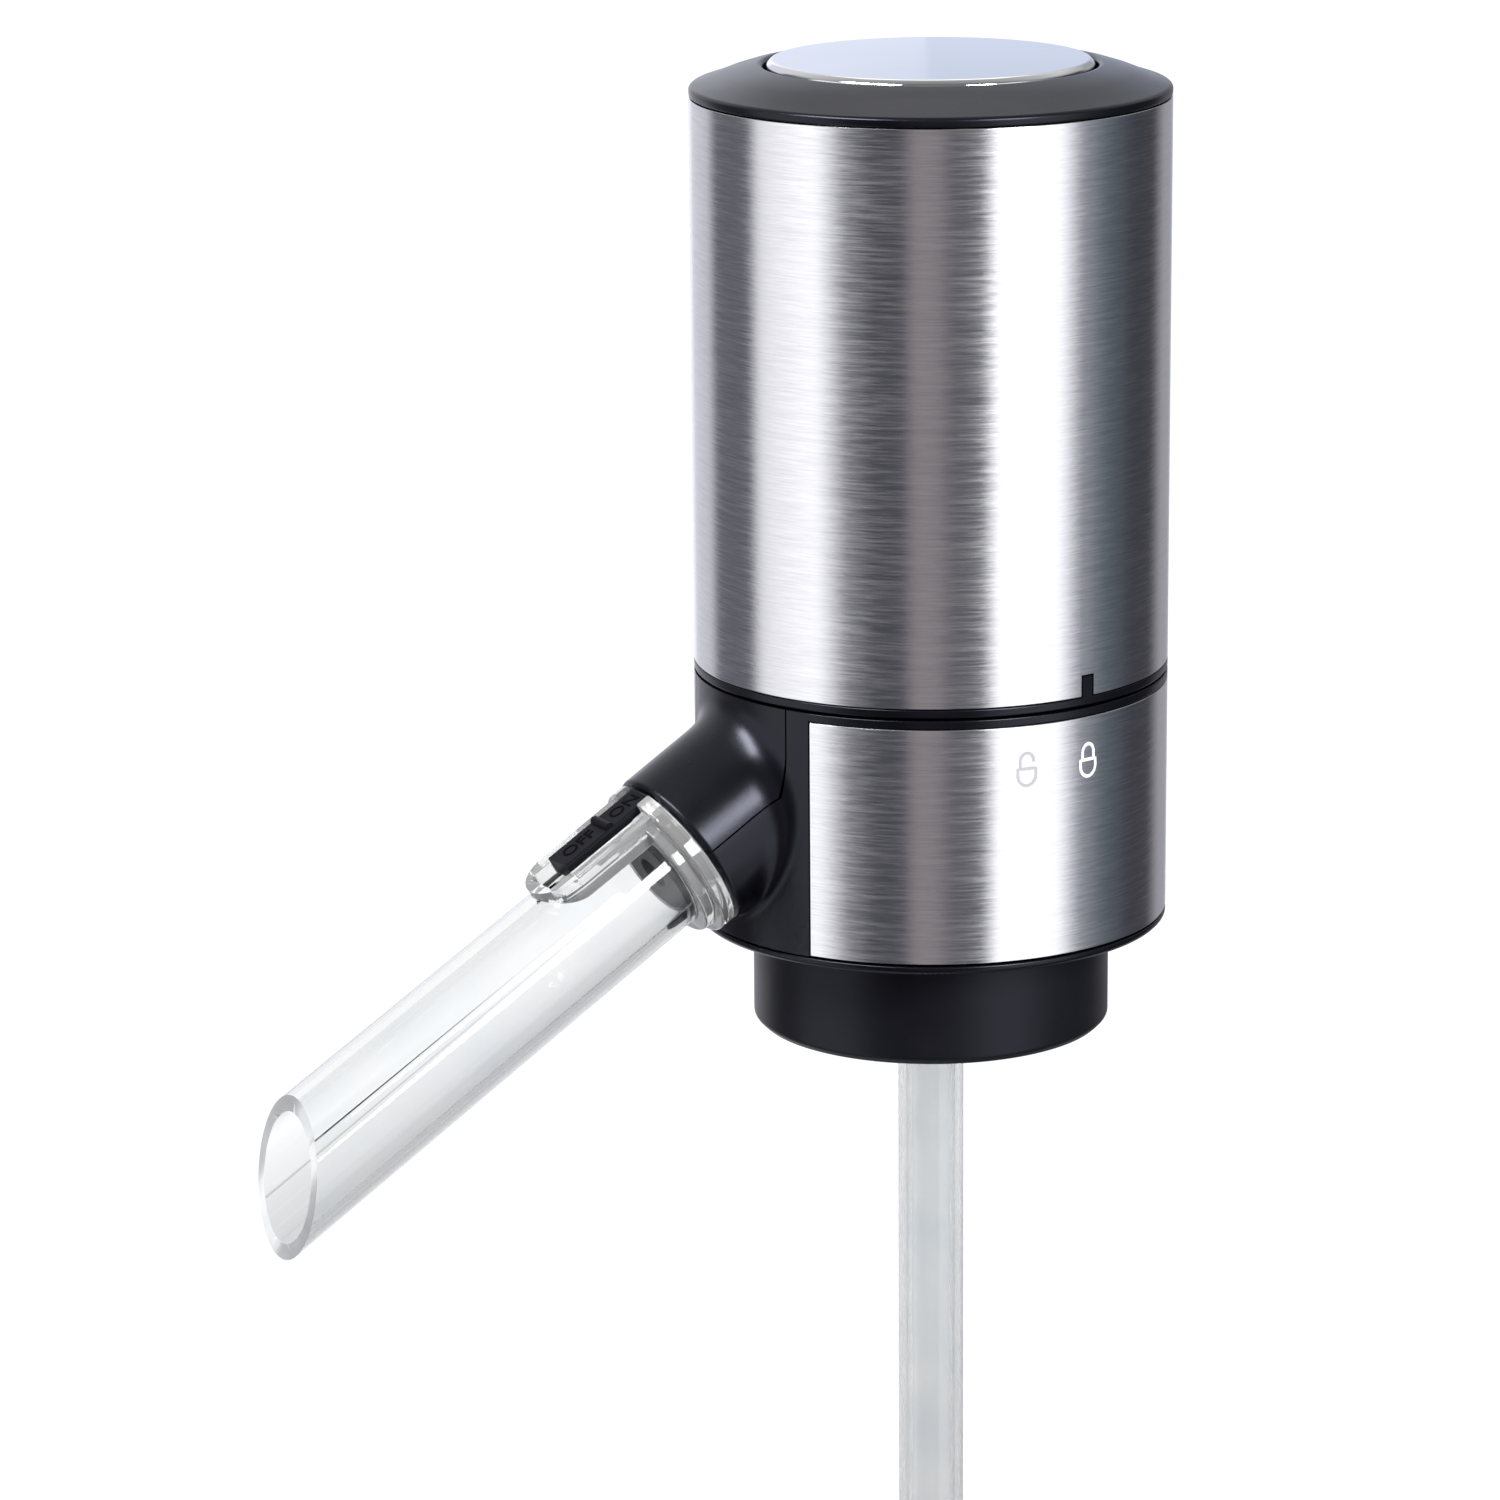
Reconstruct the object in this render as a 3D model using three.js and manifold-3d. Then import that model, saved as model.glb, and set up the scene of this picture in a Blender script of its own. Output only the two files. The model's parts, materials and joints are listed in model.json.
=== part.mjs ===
// Electric wine aerator: a battery air pump in a steel-sleeved body that stands on a bottle's
// neck, with a pull-off clear spout, an air slider, a push button and a telescoping dip tube.
// Millimetres, +Z up. The origin is on the body axis, at the collar's lower face.

import * as THREE from 'three';
import { mergeVertices } from 'three/addons/utils/BufferGeometryUtils.js';
import Module from 'manifold-3d';

const wasm = await Module();
wasm.setup();

const degree = Math.PI / 180;
const fullTurn = 2 * Math.PI;

// Clearances and cuts
const seatGap = 0.1;
const fitGap = 0.3;
const turnGap = 0.3;
const seamGap = 0.2;
const cutOverrun = 1;
const weldDistance = 0.0001;

// Facets round a circle
const skinSides = 36;
const innerSides = 20;
const tubeSides = 20;
const cellSides = 12;
const rodSides = 8;
const wireSides = 4;
const wireStepsPerTurn = 7;
const skinStep = fullTurn / skinSides;

// Screws
const screwRadius = 0.8;
const screwHeadRadius = 1.5;
const screwHeadHeight = 0.9;
const screwLength = 6;

// Outer body, stacked from the collar's lower face upwards
const bodyRadius = 28.5;
const collarHeight = 13.3;
const rimHeight = 1.26;
const panelHeight = 28.5;
const baseBandHeight = 1;
const coverBandHeight = 1;
const rimTop = collarHeight + rimHeight;
const panelTop = rimTop + panelHeight;
const baseTop = panelTop + baseBandHeight;
const coverBottom = baseTop + turnGap;
const sleeveBottom = coverBottom + coverBandHeight;

// Steel skins and the plastic shells under them
const steelThickness = 0.5;
const shellRadius = bodyRadius - steelThickness - fitGap;
const housingWall = 2;
const housingInside = shellRadius - housingWall;
const linerWall = 1.3;
const linerInside = shellRadius - linerWall;
const tickWidth = 1.5;
const tickHeight = 2.5;
const tickAngle = -50.05 * degree;

// Bayonet between the base and the cover
const ridgeDepth = 0.9;
const neckRadius = linerInside - fitGap - ridgeDepth;
const neckWall = 1.6;
const neckInside = neckRadius - neckWall;
const neckHeight = 4.94;
const neckTop = baseTop + neckHeight;
const ridgeHeight = 1.1;
const lugHeight = 1.7;
const lugTop = neckTop - ridgeHeight - fitGap;
const bayonetCount = 3;
const bayonetHalfAngle = 8 * degree;
const bayonetStopAngle = 2 * degree;
const bayonetPlayAngle = 0.8 * degree;

// Spout axis: it crosses the body axis, and falls outwards
const spoutAzimuth = -148.4 * degree;
const spoutFall = 31.1 * degree;
const spoutExitHeight = 29.628;
const spoutCrossHeight = spoutExitHeight + bodyRadius * Math.tan(spoutFall);

// Nozzle that carries the spout, measured along the spout axis
const frontMargin = 0.67;
const frontInset = 0.04;
const nozzleRadius = 10.4;
const nozzleReach = 1.443;
const nozzleWall = 1.8;
const nozzleEdge = 0.5;
const nozzleFilletRun = 3.6;
const nozzleFilletSide = 2.4;
const nozzleFilletTop = 1.5;
const nozzleFilletSteps = 3;
const nozzleSides = 28;
const nozzleRoot = 3;
const nozzleFootSink = 0.08;
const noseCoverOverlap = 0.1;
const noseCoverRise = 2.8;
const nozzleBore = nozzleRadius - nozzleWall;
const nozzleLength = leavesBody(nozzleRadius, Math.PI, bodyRadius) + nozzleReach;
const frontHalfWidth = nozzleRadius + nozzleFilletSide + frontMargin;
const frontHalfAngle = Math.asin(frontHalfWidth / bodyRadius);
const noseCoverHalfWidth = nozzleRadius + noseCoverOverlap;

// Base plate, its screws, and the collar that takes the bottle's neck
const baseChamfer = 0.5;
const plateThickness = 2;
const plateTop = collarHeight + plateThickness;
const plateRing = 4.1;
const collarWall = 2.7;
const collarEdge = 0.9;
const collarLipHeight = 1.6;
const collarLipMargin = 0.9;
const collarWebBottom = 12.9;
const collarWebThickness = 2;
const collarFlangeReach = 1.7;
const collarFlangeThickness = 1.5;
const collarRadius = housingInside - plateRing;
const collarInside = collarRadius - collarWall;
const collarFlangeBottom = plateTop + seatGap;
const collarTop = collarFlangeBottom + collarFlangeThickness;
const plateScrewInset = 1.8;
const plateScrewCount = 3;
const plateScrewHeadDepth = 1;
const plateBossRadius = 2.1;
const plateBossHeight = 9;
const plateScrewCircle = housingInside - plateScrewInset;

// Seal on the bottle's mouth
const sealSeatHeight = 9.5;
const sealWall = 3.3;
const sealCorner = 0.9;
const sealLipDepth = 0.4;
const sealLipHeight = 1.4;
const sealLipPitch = 3.4;
const sealMouthFlare = 1.1;
const sealRadius = collarInside - fitGap;
const sealBore = sealRadius - sealWall;
const collarLipInside = sealBore + collarLipMargin;
const sealTop = collarWebBottom - seatGap;
const sealBottom = collarLipHeight + fitGap;

// Wine passage: dip tube, elbow and spout socket
const wineBore = 3;
const elbowWall = 1.4;
const elbowBend = 10;
const elbowSteps = 9;
const elbowSides = 10;
const tubeWall = 0.7;
const upperTubeRadius = 4;
const upperTubeEnd = 140;
const lowerTubeRadius = upperTubeRadius - tubeWall - fitGap;
const lowerTubeLength = 150;
const lowerTubeShow = 10;
const lowerTubeTipAngle = 35 * degree;
const socketCupWall = 1;
const socketCupBottom = 10;
const socketCupHeight = 10.5;
const socketCupFloor = 1.5;
const elbowRadius = wineBore + elbowWall;
const socketCupBore = upperTubeRadius + fitGap;
const socketCupRadius = socketCupBore + socketCupWall;
const elbowHole = socketCupRadius + fitGap;
const spoutSocketFloor = 2.8;
const elbowEndPlay = 0.6;

// Air passage: pump outlet, hose and nipple through the seal
const airBore = 0.7;
const airTubeRadius = 1.5;
const airFlangeRadius = 2.6;
const airFlangeThickness = 1.2;
const nippleOffset = 8.2;
const nippleTop = 27;
const nippleAngle = spoutAzimuth + Math.PI;
const outletOffset = 6;
const outletLength = 4.5;
const hoseWall = 1;
const hoseSteps = 7;
const hoseGrip = 4.3;

// Battery holder, which carries the motor, the pump and the circuit board
const motorRadius = 12.2;
const batteryLength = 44.5;
const batteryTipShare = 0.362;
const batteryTipHeight = 0.8;
const batteryCount = 4;
const batteryRoom = 1.35;
const batteryFirstAngle = 45 * degree;
const contactMargin = 0.85;
const contactThickness = 0.5;
const contactRise = 1.4;
const contactWire = 0.25;
const contactTurns = 2;
const holderRoom = 1.5;
const holderPlate = 1.8;
const holderWebWall = 1.75;
const holderBottom = neckTop + seatGap;
const bayBottom = holderBottom + holderPlate;
const bayTop = bayBottom + batteryLength + 2 * (contactThickness + contactRise + seatGap);
const holderTop = bayTop + holderPlate;
const holderRadius = linerInside - holderRoom;
const holderBore = motorRadius + fitGap;
const bayInnerEdge = holderBore + holderWebWall;
const batteryRadius = (linerInside - batteryRoom - bayInnerEdge - fitGap) / 2;
const batteryCircle = linerInside - batteryRoom - batteryRadius;
const batteryTipRadius = batteryRadius * batteryTipShare;
const contactRadius = batteryRadius - contactMargin;
const holderVentRadius = 7;
const holderScrewInset = 2;
const holderScrewCircle = neckInside - holderScrewInset;
const holderWebRadius = holderScrewCircle - screwHeadRadius - seatGap;
const holderBossRadius = 2.5;
const holderBossHeight = 8;

// Diaphragm pump, stacked upwards from its head, and the motor that fills the height above it
const endBellHeight = 3;
const endBellBossRadius = 3.2;
const endBellBossRise = 0.8;
const shaftRadius = 1;
const pumpHousingHeight = 15.5;
const pumpWall = 2.8;
const pumpCeiling = 1.4;
const pumpHubBore = 4.5;
const diaphragmThickness = 1.2;
const diaphragmCupRadius = 3.3;
const diaphragmCupHeight = 1.7;
const diaphragmStemRadius = 1.1;
const diaphragmStemRise = 2.9;
const chamberCount = 3;
const chamberRoom = 0.9;
const valvePlateThickness = 1.5;
const valvePortRadius = 0.7;
const pumpHeadHeight = 4.3;
const pumpHeadDrop = 0.7;
const headBottom = holderBottom - pumpHeadDrop;
const headTop = headBottom + pumpHeadHeight;
const valveBottom = headTop + seatGap;
const valveTop = valveBottom + valvePlateThickness;
const diaphragmBottom = valveTop + seatGap;
const diaphragmTop = diaphragmBottom + diaphragmThickness;
const pumpBottom = diaphragmTop + seatGap;
const pumpTop = pumpBottom + pumpHousingHeight;
const motorBottom = pumpTop + seatGap;
const motorTop = bayTop - fitGap;
const endBellBottom = motorTop - endBellHeight;
const pumpInside = motorRadius - pumpWall;
const chamberCircle = pumpInside - chamberRoom - diaphragmCupRadius;
const pumpScrewInset = 1.4;
const pumpScrewReach = 5;
const pumpScrewCircle = motorRadius - pumpScrewInset;

// Nutating drive: an inclined pin swings the swash plate without turning it
const nutationAngle = 4.5 * degree;
const nutationCentre = 0.6;
const wheelRoom = 2.4;
const wheelHeight = 4;
const wheelRise = 7.6;
const pinRadius = 0.75;
const pinReach = 4.4;
const swashRoom = 2;
const swashThickness = 1.6;
const swashRise = 3.2;
const swashHubRadius = 2.4;
const swashHubHeight = 3.2;
const swashNotchRadius = 3;
const wheelRadius = pumpInside - wheelRoom;
const swashRadius = pumpInside - swashRoom;
const nutationHeight = pumpBottom + nutationCentre;
const wheelBottom = pumpBottom + wheelRise;

// Circuit board and the switch under the button
const boardPostCount = 2;
const boardPostHeight = 1;
const boardPostRadius = 1.8;
const boardPostInset = 5.5;
const boardMargin = 3.4;
const boardThickness = 1.6;
const switchWidth = 6;
const switchHeight = 3.5;
const switchKeyRadius = 1.7;
const switchKeyRise = 0.5;
const boardRadius = holderRadius - boardMargin;
const boardPostCircle = boardRadius - boardPostInset;
const boardBottom = holderTop + boardPostHeight + seatGap;
const boardTop = boardBottom + boardThickness;
const switchTop = boardTop + seatGap + switchHeight;
const leadRadius = 0.6;
const leadOffset = 5.2;

// Cover deck, whose height follows the switch, the sleeve's top, bezel and push button
const buttonTravel = 1;
const plungerShow = 0.7;
const deckThickness = 1.6;
const deckDepth = 1.41;
const bezelLipHeight = 1.3;
const bezelRise = 2.5;
const plungerBottom = switchTop + switchKeyRise + fitGap + buttonTravel;
const deckBottom = plungerBottom + plungerShow;
const deckTop = deckBottom + deckThickness;
const sleeveTop = deckTop + deckDepth;
const lipTop = sleeveTop + bezelLipHeight;
const bezelTop = lipTop + bezelRise;
const bezelScrewInset = 1.9;
const bezelScrewCount = 3;
const bezelScrewDepth = 2.4;
const bezelScrewWall = 3.2;
const bezelLedgeWidth = 1.55;
const bezelEdge = 0.3;
const bezelCrown = 0.2;
const bezelSlopeInset = 0.5;
const bezelScrewCircle = linerInside - bezelScrewInset;
const bezelBore = bezelScrewCircle - bezelScrewWall;
const bezelInnerRadius = bezelBore - bezelLedgeWidth;
const buttonGap = 0.4;
const buttonRadius = bezelInnerRadius - buttonGap;
const buttonProud = 0.5;
const buttonDome = 0.6;
const buttonDomeSteps = 3;
const buttonBevel = 0.6;
const buttonSkin = 1.3;
const buttonFlangeReach = 1.5;
const buttonFlangeThickness = 1;
const buttonFlangeTop = lipTop - fitGap;
const buttonEdgeHeight = bezelTop + buttonProud;
const buttonUnderside = buttonEdgeHeight - buttonSkin;
const plungerRadius = 3;
const plungerPadRadius = 8;
const plungerPadThickness = 1.3;
const springWire = 0.25;
const springRadius = 4.6;
const springTurns = 2.5;
const springStepsPerTurn = 10;

// Clear spout, measured along its axis from its flange
const spigotRadius = 6.7;
const spigotLength = 15.7;
const ringGrooveSetback = 11.8;
const ringGrooveWidth = 2;
const ringGrooveDepth = 0.8;
const ringWire = 0.45;
const ringSides = 6;
const flangeRadius = 10.2;
const flangeWidth = 1.9;
const flangeStepRadius = 9;
const flangeStepWidth = 1.5;
const spoutRadius = 7.34;
const spoutTipRadius = 7.7;
const spoutWall = 1.5;
const spoutReach = 60.6;
const spoutTipAngle = 38 * degree;
const spoutEdge = 0.3;
const flangeStart = nozzleLength + fitGap;
const flangeEnd = flangeStart + flangeWidth;
const stepEnd = flangeEnd + flangeStepWidth;
const spigotStart = flangeStart - spigotLength;
const ringGrooveStart = flangeStart - ringGrooveSetback;
const spoutSocketStart = spigotStart - fitGap - spoutSocketFloor;
const spoutEnd = flangeStart + spoutReach;
const spigotBore = 5.2;
const insertSeatSetback = 0.8;
const insertSetIn = 1.5;
const insertThickness = 2.4;
const insertThroat = 2.1;
const insertMouth = 4.4;
const insertGap = 0.2;
const insertSeatStart = flangeStart - insertSeatSetback;
const insertStart = flangeStart + insertSetIn;

// Air slider and its rail on the spout
const railWidth = 9.5;
const railTop = 8.5;
const railRoot = 5;
const railNoseWall = 1.5;
const railNoseSides = 16;
const railLipThickness = 0.6;
const channelDepth = 1.6;
const sliderWidth = 4.5;
const sliderWingWidth = 6.4;
const sliderWingThickness = 0.4;
const sliderLength = 13.1;
const sliderTravel = 2.8;
const sliderWingSetback = 3.2;
const sliderTop = 9.4;
const sliderEdge = 0.35;
const sliderRidgeRadius = 0.6;
const sliderRidgePlaceShare = 0.45;
const channelEnd = flangeStart + sliderLength + sliderTravel + fitGap;
const railEnd = channelEnd + railNoseWall;
const airPortRadius = 1;
const airPortSetback = 1.3;

// Colours
const blackPlastic = '#1d1e24';
const softBlack = '#17181c';
const steelColour = '#b9babd';
const chromeColour = '#d6d8dc';
const clearColour = '#e8eef2';
const siliconeColour = '#2a2b2f';
const brassColour = '#b8974f';
const batteryColour = '#3c4a58';
const boardColour = '#1f5a37';
const leadRed = '#8c1f1f';
const creamColour = '#d9d4c6';

// One closed mesh on shared points, with its faces pointing out
function welded(geometry) {
  const bare = new THREE.BufferGeometry();
  bare.setAttribute('position', geometry.getAttribute('position').clone());
  if (geometry.index) bare.setIndex(Array.from(geometry.index.array));
  const merged = mergeVertices(bare, weldDistance);
  const place = merged.getAttribute('position');
  const corners = merged.index.array;
  const kept = [];
  const [a, b, c] = [new THREE.Vector3(), new THREE.Vector3(), new THREE.Vector3()];
  let volume = 0;
  for (let i = 0; i < corners.length; i += 3) {
    const [p, q, r] = [corners[i], corners[i + 1], corners[i + 2]];
    if (p === q || q === r || r === p) continue;
    a.fromBufferAttribute(place, p);
    b.fromBufferAttribute(place, q);
    c.fromBufferAttribute(place, r);
    volume += a.dot(b.cross(c));
    kept.push(p, q, r);
  }
  if (volume < 0) kept.reverse();
  merged.setIndex(kept);
  return merged;
}

function toSolid(geometry) {
  const closed = welded(geometry);
  const vertProperties = new Float32Array(closed.getAttribute('position').array);
  const triVerts = new Uint32Array(closed.index.array);
  return new wasm.Manifold(new wasm.Mesh({ numProp: 3, vertProperties, triVerts }));
}

function toGeometry(solid) {
  const mesh = solid.getMesh();
  const geometry = new THREE.BufferGeometry();
  geometry.setAttribute('position', new THREE.BufferAttribute(mesh.vertProperties, 3));
  geometry.setIndex(Array.from(mesh.triVerts));
  return geometry;
}

function join(first, ...others) {
  return toGeometry(others.reduce((whole, other) => whole.add(toSolid(other)), toSolid(first)));
}

function cut(first, ...tools) {
  return toGeometry(tools.reduce((rest, tool) => rest.subtract(toSolid(tool)), toSolid(first)));
}

function common(first, ...others) {
  return toGeometry(others.reduce((rest, other) => rest.intersect(toSolid(other)), toSolid(first)));
}

// A turned solid from [radius, height] points, closed on itself unless it ends on the axis
function revolve(outline, sides) {
  const points = outline.map(([radius, height]) => new THREE.Vector2(radius, height));
  const last = outline[outline.length - 1];
  const onAxis = outline[0][0] === 0 && last[0] === 0;
  if (!onAxis) points.push(points[0].clone());
  return new THREE.LatheGeometry(points, sides).rotateX(Math.PI / 2);
}

function rod(radius, bottom, top, sides = rodSides) {
  return revolve([[0, bottom], [radius, bottom], [radius, top], [0, top]], sides);
}

function sleeve(inner, outer, bottom, top, sides) {
  return revolve([[inner, bottom], [outer, bottom], [outer, top], [inner, top]], sides);
}

// An outline's full circles get twice as many facets as their curve segments
function prism(shape, bottom, top, sides = rodSides) {
  const settings = { depth: top - bottom, bevelEnabled: false, curveSegments: sides / 2 };
  return new THREE.ExtrudeGeometry(shape, settings).translate(0, 0, bottom);
}

function block([x0, x1], [y0, y1], [z0, z1]) {
  const box = new THREE.BoxGeometry(x1 - x0, y1 - y0, z1 - z0);
  return box.translate((x0 + x1) / 2, (y0 + y1) / 2, (z0 + z1) / 2);
}

// A point on the faceted circle that every skin shares
function onSkin(radius, angle) {
  const intoFacet = angle - skinStep * Math.floor(angle / skinStep) - skinStep / 2;
  const reach = radius * Math.cos(skinStep / 2) / Math.cos(intoFacet);
  return new THREE.Vector2(reach * Math.cos(angle), reach * Math.sin(angle));
}

// A band between two radii whose facets line up with the skins'
function arcBand(inner, outer, from, to) {
  const angles = [from];
  for (let step = Math.floor(from / skinStep) + 1; step * skinStep < to; step += 1) {
    angles.push(step * skinStep);
  }
  angles.push(to);
  const outside = angles.map((angle) => onSkin(outer, angle));
  const inside = angles.map((angle) => onSkin(inner, angle)).reverse();
  return new THREE.Shape([...outside, ...inside]);
}

function circleShape(radius) {
  return new THREE.Shape().absarc(0, 0, radius, 0, fullTurn, false);
}

function pipe(path, radius, steps, sides) {
  const settings = { steps, bevelEnabled: false, extrudePath: path, curveSegments: sides / 2 };
  return new THREE.ExtrudeGeometry(circleShape(radius), settings);
}

// A closed solid through rings of equal point counts, capped at both ends
function loft(rings) {
  const count = rings[0].length;
  const points = rings.flat();
  const index = [];
  for (let ring = 0; ring < rings.length - 1; ring += 1) {
    for (let i = 0; i < count; i += 1) {
      const next = (i + 1) % count;
      const [a, b] = [ring * count + i, ring * count + next];
      index.push(a, b, b + count, a, b + count, a + count);
    }
  }
  [[rings[0], 0], [rings[rings.length - 1], points.length - count]].forEach(([ring, start]) => {
    const middle = ring.reduce((sum, point) => sum.add(point), new THREE.Vector3());
    points.push(middle.divideScalar(count));
    for (let i = 0; i < count; i += 1) {
      const [a, b] = [start + i, start + (i + 1) % count];
      index.push(points.length - 1, ...(start === 0 ? [b, a] : [a, b]));
    }
  });
  const geometry = new THREE.BufferGeometry().setFromPoints(points);
  geometry.setIndex(index);
  return geometry;
}

// A helix that starts at a height on the body axis
class Helix extends THREE.Curve {
  constructor(radius, bottom, height, turns) {
    super();
    Object.assign(this, { radius, bottom, height, turns });
  }

  getPoint(share, target = new THREE.Vector3()) {
    const angle = share * this.turns * fullTurn;
    const [x, y] = [this.radius * Math.cos(angle), this.radius * Math.sin(angle)];
    return target.set(x, y, this.bottom + share * this.height);
  }
}

// An arc between two straight runs, in the plane of two unit vectors
class Bend extends THREE.Curve {
  constructor(centre, start, along, radius, angle) {
    super();
    Object.assign(this, { centre, start, along, radius, angle });
  }

  getPoint(share, target = new THREE.Vector3()) {
    const angle = share * this.angle;
    target.copy(this.centre).addScaledVector(this.start, this.radius * Math.cos(angle));
    return target.addScaledVector(this.along, this.radius * Math.sin(angle));
  }
}

function around(count, make, first = 0) {
  return Array.from({ length: count }, (_, i) => make(first + i * fullTurn / count, i));
}

function at(geometry, radius, angle, height = 0) {
  return geometry.translate(radius * Math.cos(angle), radius * Math.sin(angle), height);
}

// The spout's own frame: X across it, Y up from it, Z outwards along it
const spoutOut = new THREE.Vector3(
  Math.cos(spoutAzimuth) * Math.cos(spoutFall),
  Math.sin(spoutAzimuth) * Math.cos(spoutFall),
  -Math.sin(spoutFall),
);
const spoutUp = new THREE.Vector3(
  Math.cos(spoutAzimuth) * Math.sin(spoutFall),
  Math.sin(spoutAzimuth) * Math.sin(spoutFall),
  Math.cos(spoutFall),
);
const spoutAcross = new THREE.Vector3().crossVectors(spoutUp, spoutOut);
const spoutFrame = new THREE.Matrix4()
  .makeBasis(spoutAcross, spoutUp, spoutOut)
  .setPosition(0, 0, spoutCrossHeight);

function inSpoutFrame(geometry) {
  return geometry.applyMatrix4(spoutFrame);
}

// A point by distance along the spout axis, radius and angle from its upper side
function byNozzle(along, radius, angle) {
  const point = new THREE.Vector3(radius * Math.sin(angle), radius * Math.cos(angle), along);
  return point.applyMatrix4(spoutFrame);
}

// How far along the spout axis a line parallel to it leaves an upright cylinder
function leavesBody(radius, angle, cylinder) {
  const reach = Math.sqrt(cylinder ** 2 - (radius * Math.sin(angle)) ** 2);
  return (reach - radius * Math.cos(angle) * Math.sin(spoutFall)) / Math.cos(spoutFall);
}

// The nozzle, which flows into the body by a fillet that narrows at the top and the bottom
function nozzleForm() {
  const ring = (place) => around(nozzleSides, (angle) => place(angle));
  const corner = (angle) => leavesBody(nozzleRadius, angle, bodyRadius);
  const edgeStart = nozzleLength - nozzleEdge;
  const filletStart = (angle) => Math.min(corner(angle) + nozzleFilletRun, edgeStart);
  const foot = (angle) => {
    const spread = nozzleFilletTop - nozzleFilletSide;
    const radius = nozzleRadius + nozzleFilletSide + spread * Math.cos(angle) ** 2;
    const point = byNozzle(leavesBody(radius, angle, bodyRadius), radius, angle);
    const skin = onSkin(bodyRadius - nozzleFootSink, Math.atan2(point.y, point.x));
    return point.set(skin.x, skin.y, point.z);
  };
  const rings = [
    ring((angle) => byNozzle(nozzleLength, nozzleRadius - nozzleEdge, angle)),
    ring((angle) => byNozzle(edgeStart, nozzleRadius, angle)),
  ];
  for (let step = 0; step <= nozzleFilletSteps; step += 1) {
    const share = step / nozzleFilletSteps;
    rings.push(ring((angle) => {
      const from = byNozzle(filletStart(angle), nozzleRadius, angle);
      const bend = byNozzle(corner(angle), nozzleRadius, angle);
      return new THREE.QuadraticBezierCurve3(from, bend, foot(angle)).getPoint(share);
    }));
  }
  const rootShare = (bodyRadius - nozzleRoot) / bodyRadius;
  rings.push(ring((angle) => {
    const point = foot(angle);
    return point.set(point.x * rootShare, point.y * rootShare, point.z);
  }));
  return loft(rings);
}

// The base's outside: a turned body, the black front sector and the nozzle
function baseOutside() {
  const body = revolve([
    [0, rimTop],
    [shellRadius, rimTop],
    [shellRadius, panelTop],
    [bodyRadius, panelTop],
    [bodyRadius, baseTop],
    [neckRadius, baseTop],
    [neckRadius, neckTop],
    [0, neckTop],
  ], skinSides);
  const from = spoutAzimuth - frontHalfAngle;
  const to = spoutAzimuth + frontHalfAngle;
  const front = arcBand(shellRadius - housingWall / 2, bodyRadius - frontInset, from, to);
  return join(body, prism(front, rimTop, panelTop + baseBandHeight / 2), nozzleForm());
}

function baseInside() {
  const shoulder = panelTop - housingWall;
  return revolve([
    [0, rimTop - cutOverrun],
    [housingInside, rimTop - cutOverrun],
    [housingInside, shoulder - (housingInside - neckInside)],
    [neckInside, shoulder],
    [neckInside, neckTop + cutOverrun],
    [0, neckTop + cutOverrun],
  ], skinSides);
}

// The space of the separate nose cover: the nozzle's upper half and the front above it
function noseCoverSpace(grow) {
  const halfWidth = noseCoverHalfWidth + grow;
  const reach = nozzleLength + cutOverrun;
  const above = [noseCoverRise - grow, bodyRadius + reach];
  const inner = housingInside * Math.cos(frontHalfAngle) * Math.cos(spoutFall);
  return inSpoutFrame(block([-halfWidth, halfWidth], above, [inner - nozzleRadius, reach]));
}

function nozzleBoreTool() {
  const [from, to] = [spoutSocketStart - cutOverrun, nozzleLength + cutOverrun];
  return inSpoutFrame(rod(nozzleBore, from, to, tubeSides));
}

function noseCover() {
  const behind = rod(housingInside + fitGap, rimTop - cutOverrun, neckTop + cutOverrun, skinSides);
  return cut(common(baseOutside(), noseCoverSpace(0)), nozzleBoreTool(), behind);
}

function plateScrewAngles() {
  return around(plateScrewCount, (angle) => angle, spoutAzimuth + Math.PI / plateScrewCount);
}

function baseHousing() {
  const ridges = around(bayonetCount, (angle) => {
    const [from, to] = [angle - bayonetHalfAngle, angle + bayonetHalfAngle];
    const stopFrom = to + bayonetPlayAngle;
    const outer = neckRadius + ridgeDepth;
    const stopTo = stopFrom + bayonetStopAngle;
    const ridge = arcBand(neckRadius - neckWall / 2, outer, from, stopTo);
    const stop = arcBand(neckRadius - neckWall / 2, outer - seatGap, stopFrom, stopTo);
    return [
      prism(ridge, neckTop - ridgeHeight, neckTop - seatGap),
      prism(stop, lugTop - lugHeight, neckTop - ridgeHeight / 2),
    ];
  }).flat();
  const plateBosses = plateScrewAngles().map((angle) => {
    const bottom = plateTop + seatGap;
    return at(rod(plateBossRadius, bottom, bottom + plateBossHeight), plateScrewCircle, angle);
  });
  const plateHoles = plateScrewAngles().map((angle) => {
    const top = plateTop + screwLength + cutOverrun;
    return at(rod(screwRadius + fitGap, rimTop, top), plateScrewCircle, angle);
  });
  const holderBosses = holderScrewAngles().map((angle) => {
    const boss = rod(holderBossRadius, neckTop - holderBossHeight, neckTop);
    return at(boss, holderScrewCircle, angle);
  });
  const holderHoles = holderScrewAngles().map((angle) => {
    const bottom = neckTop - screwLength;
    return at(rod(screwRadius + fitGap, bottom, neckTop + cutOverrun), holderScrewCircle, angle);
  });
  const noseSpace = common(
    noseCoverSpace(seamGap),
    sleeve((neckRadius + housingInside) / 2, bodyRadius * 2, rimTop, baseTop + seamGap, skinSides),
  );
  const shell = cut(baseOutside(), baseInside());
  const solid = join(shell, ...ridges, ...plateBosses, ...holderBosses);
  return cut(solid, noseSpace, nozzleBoreTool(), ...plateHoles, ...holderHoles);
}

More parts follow.
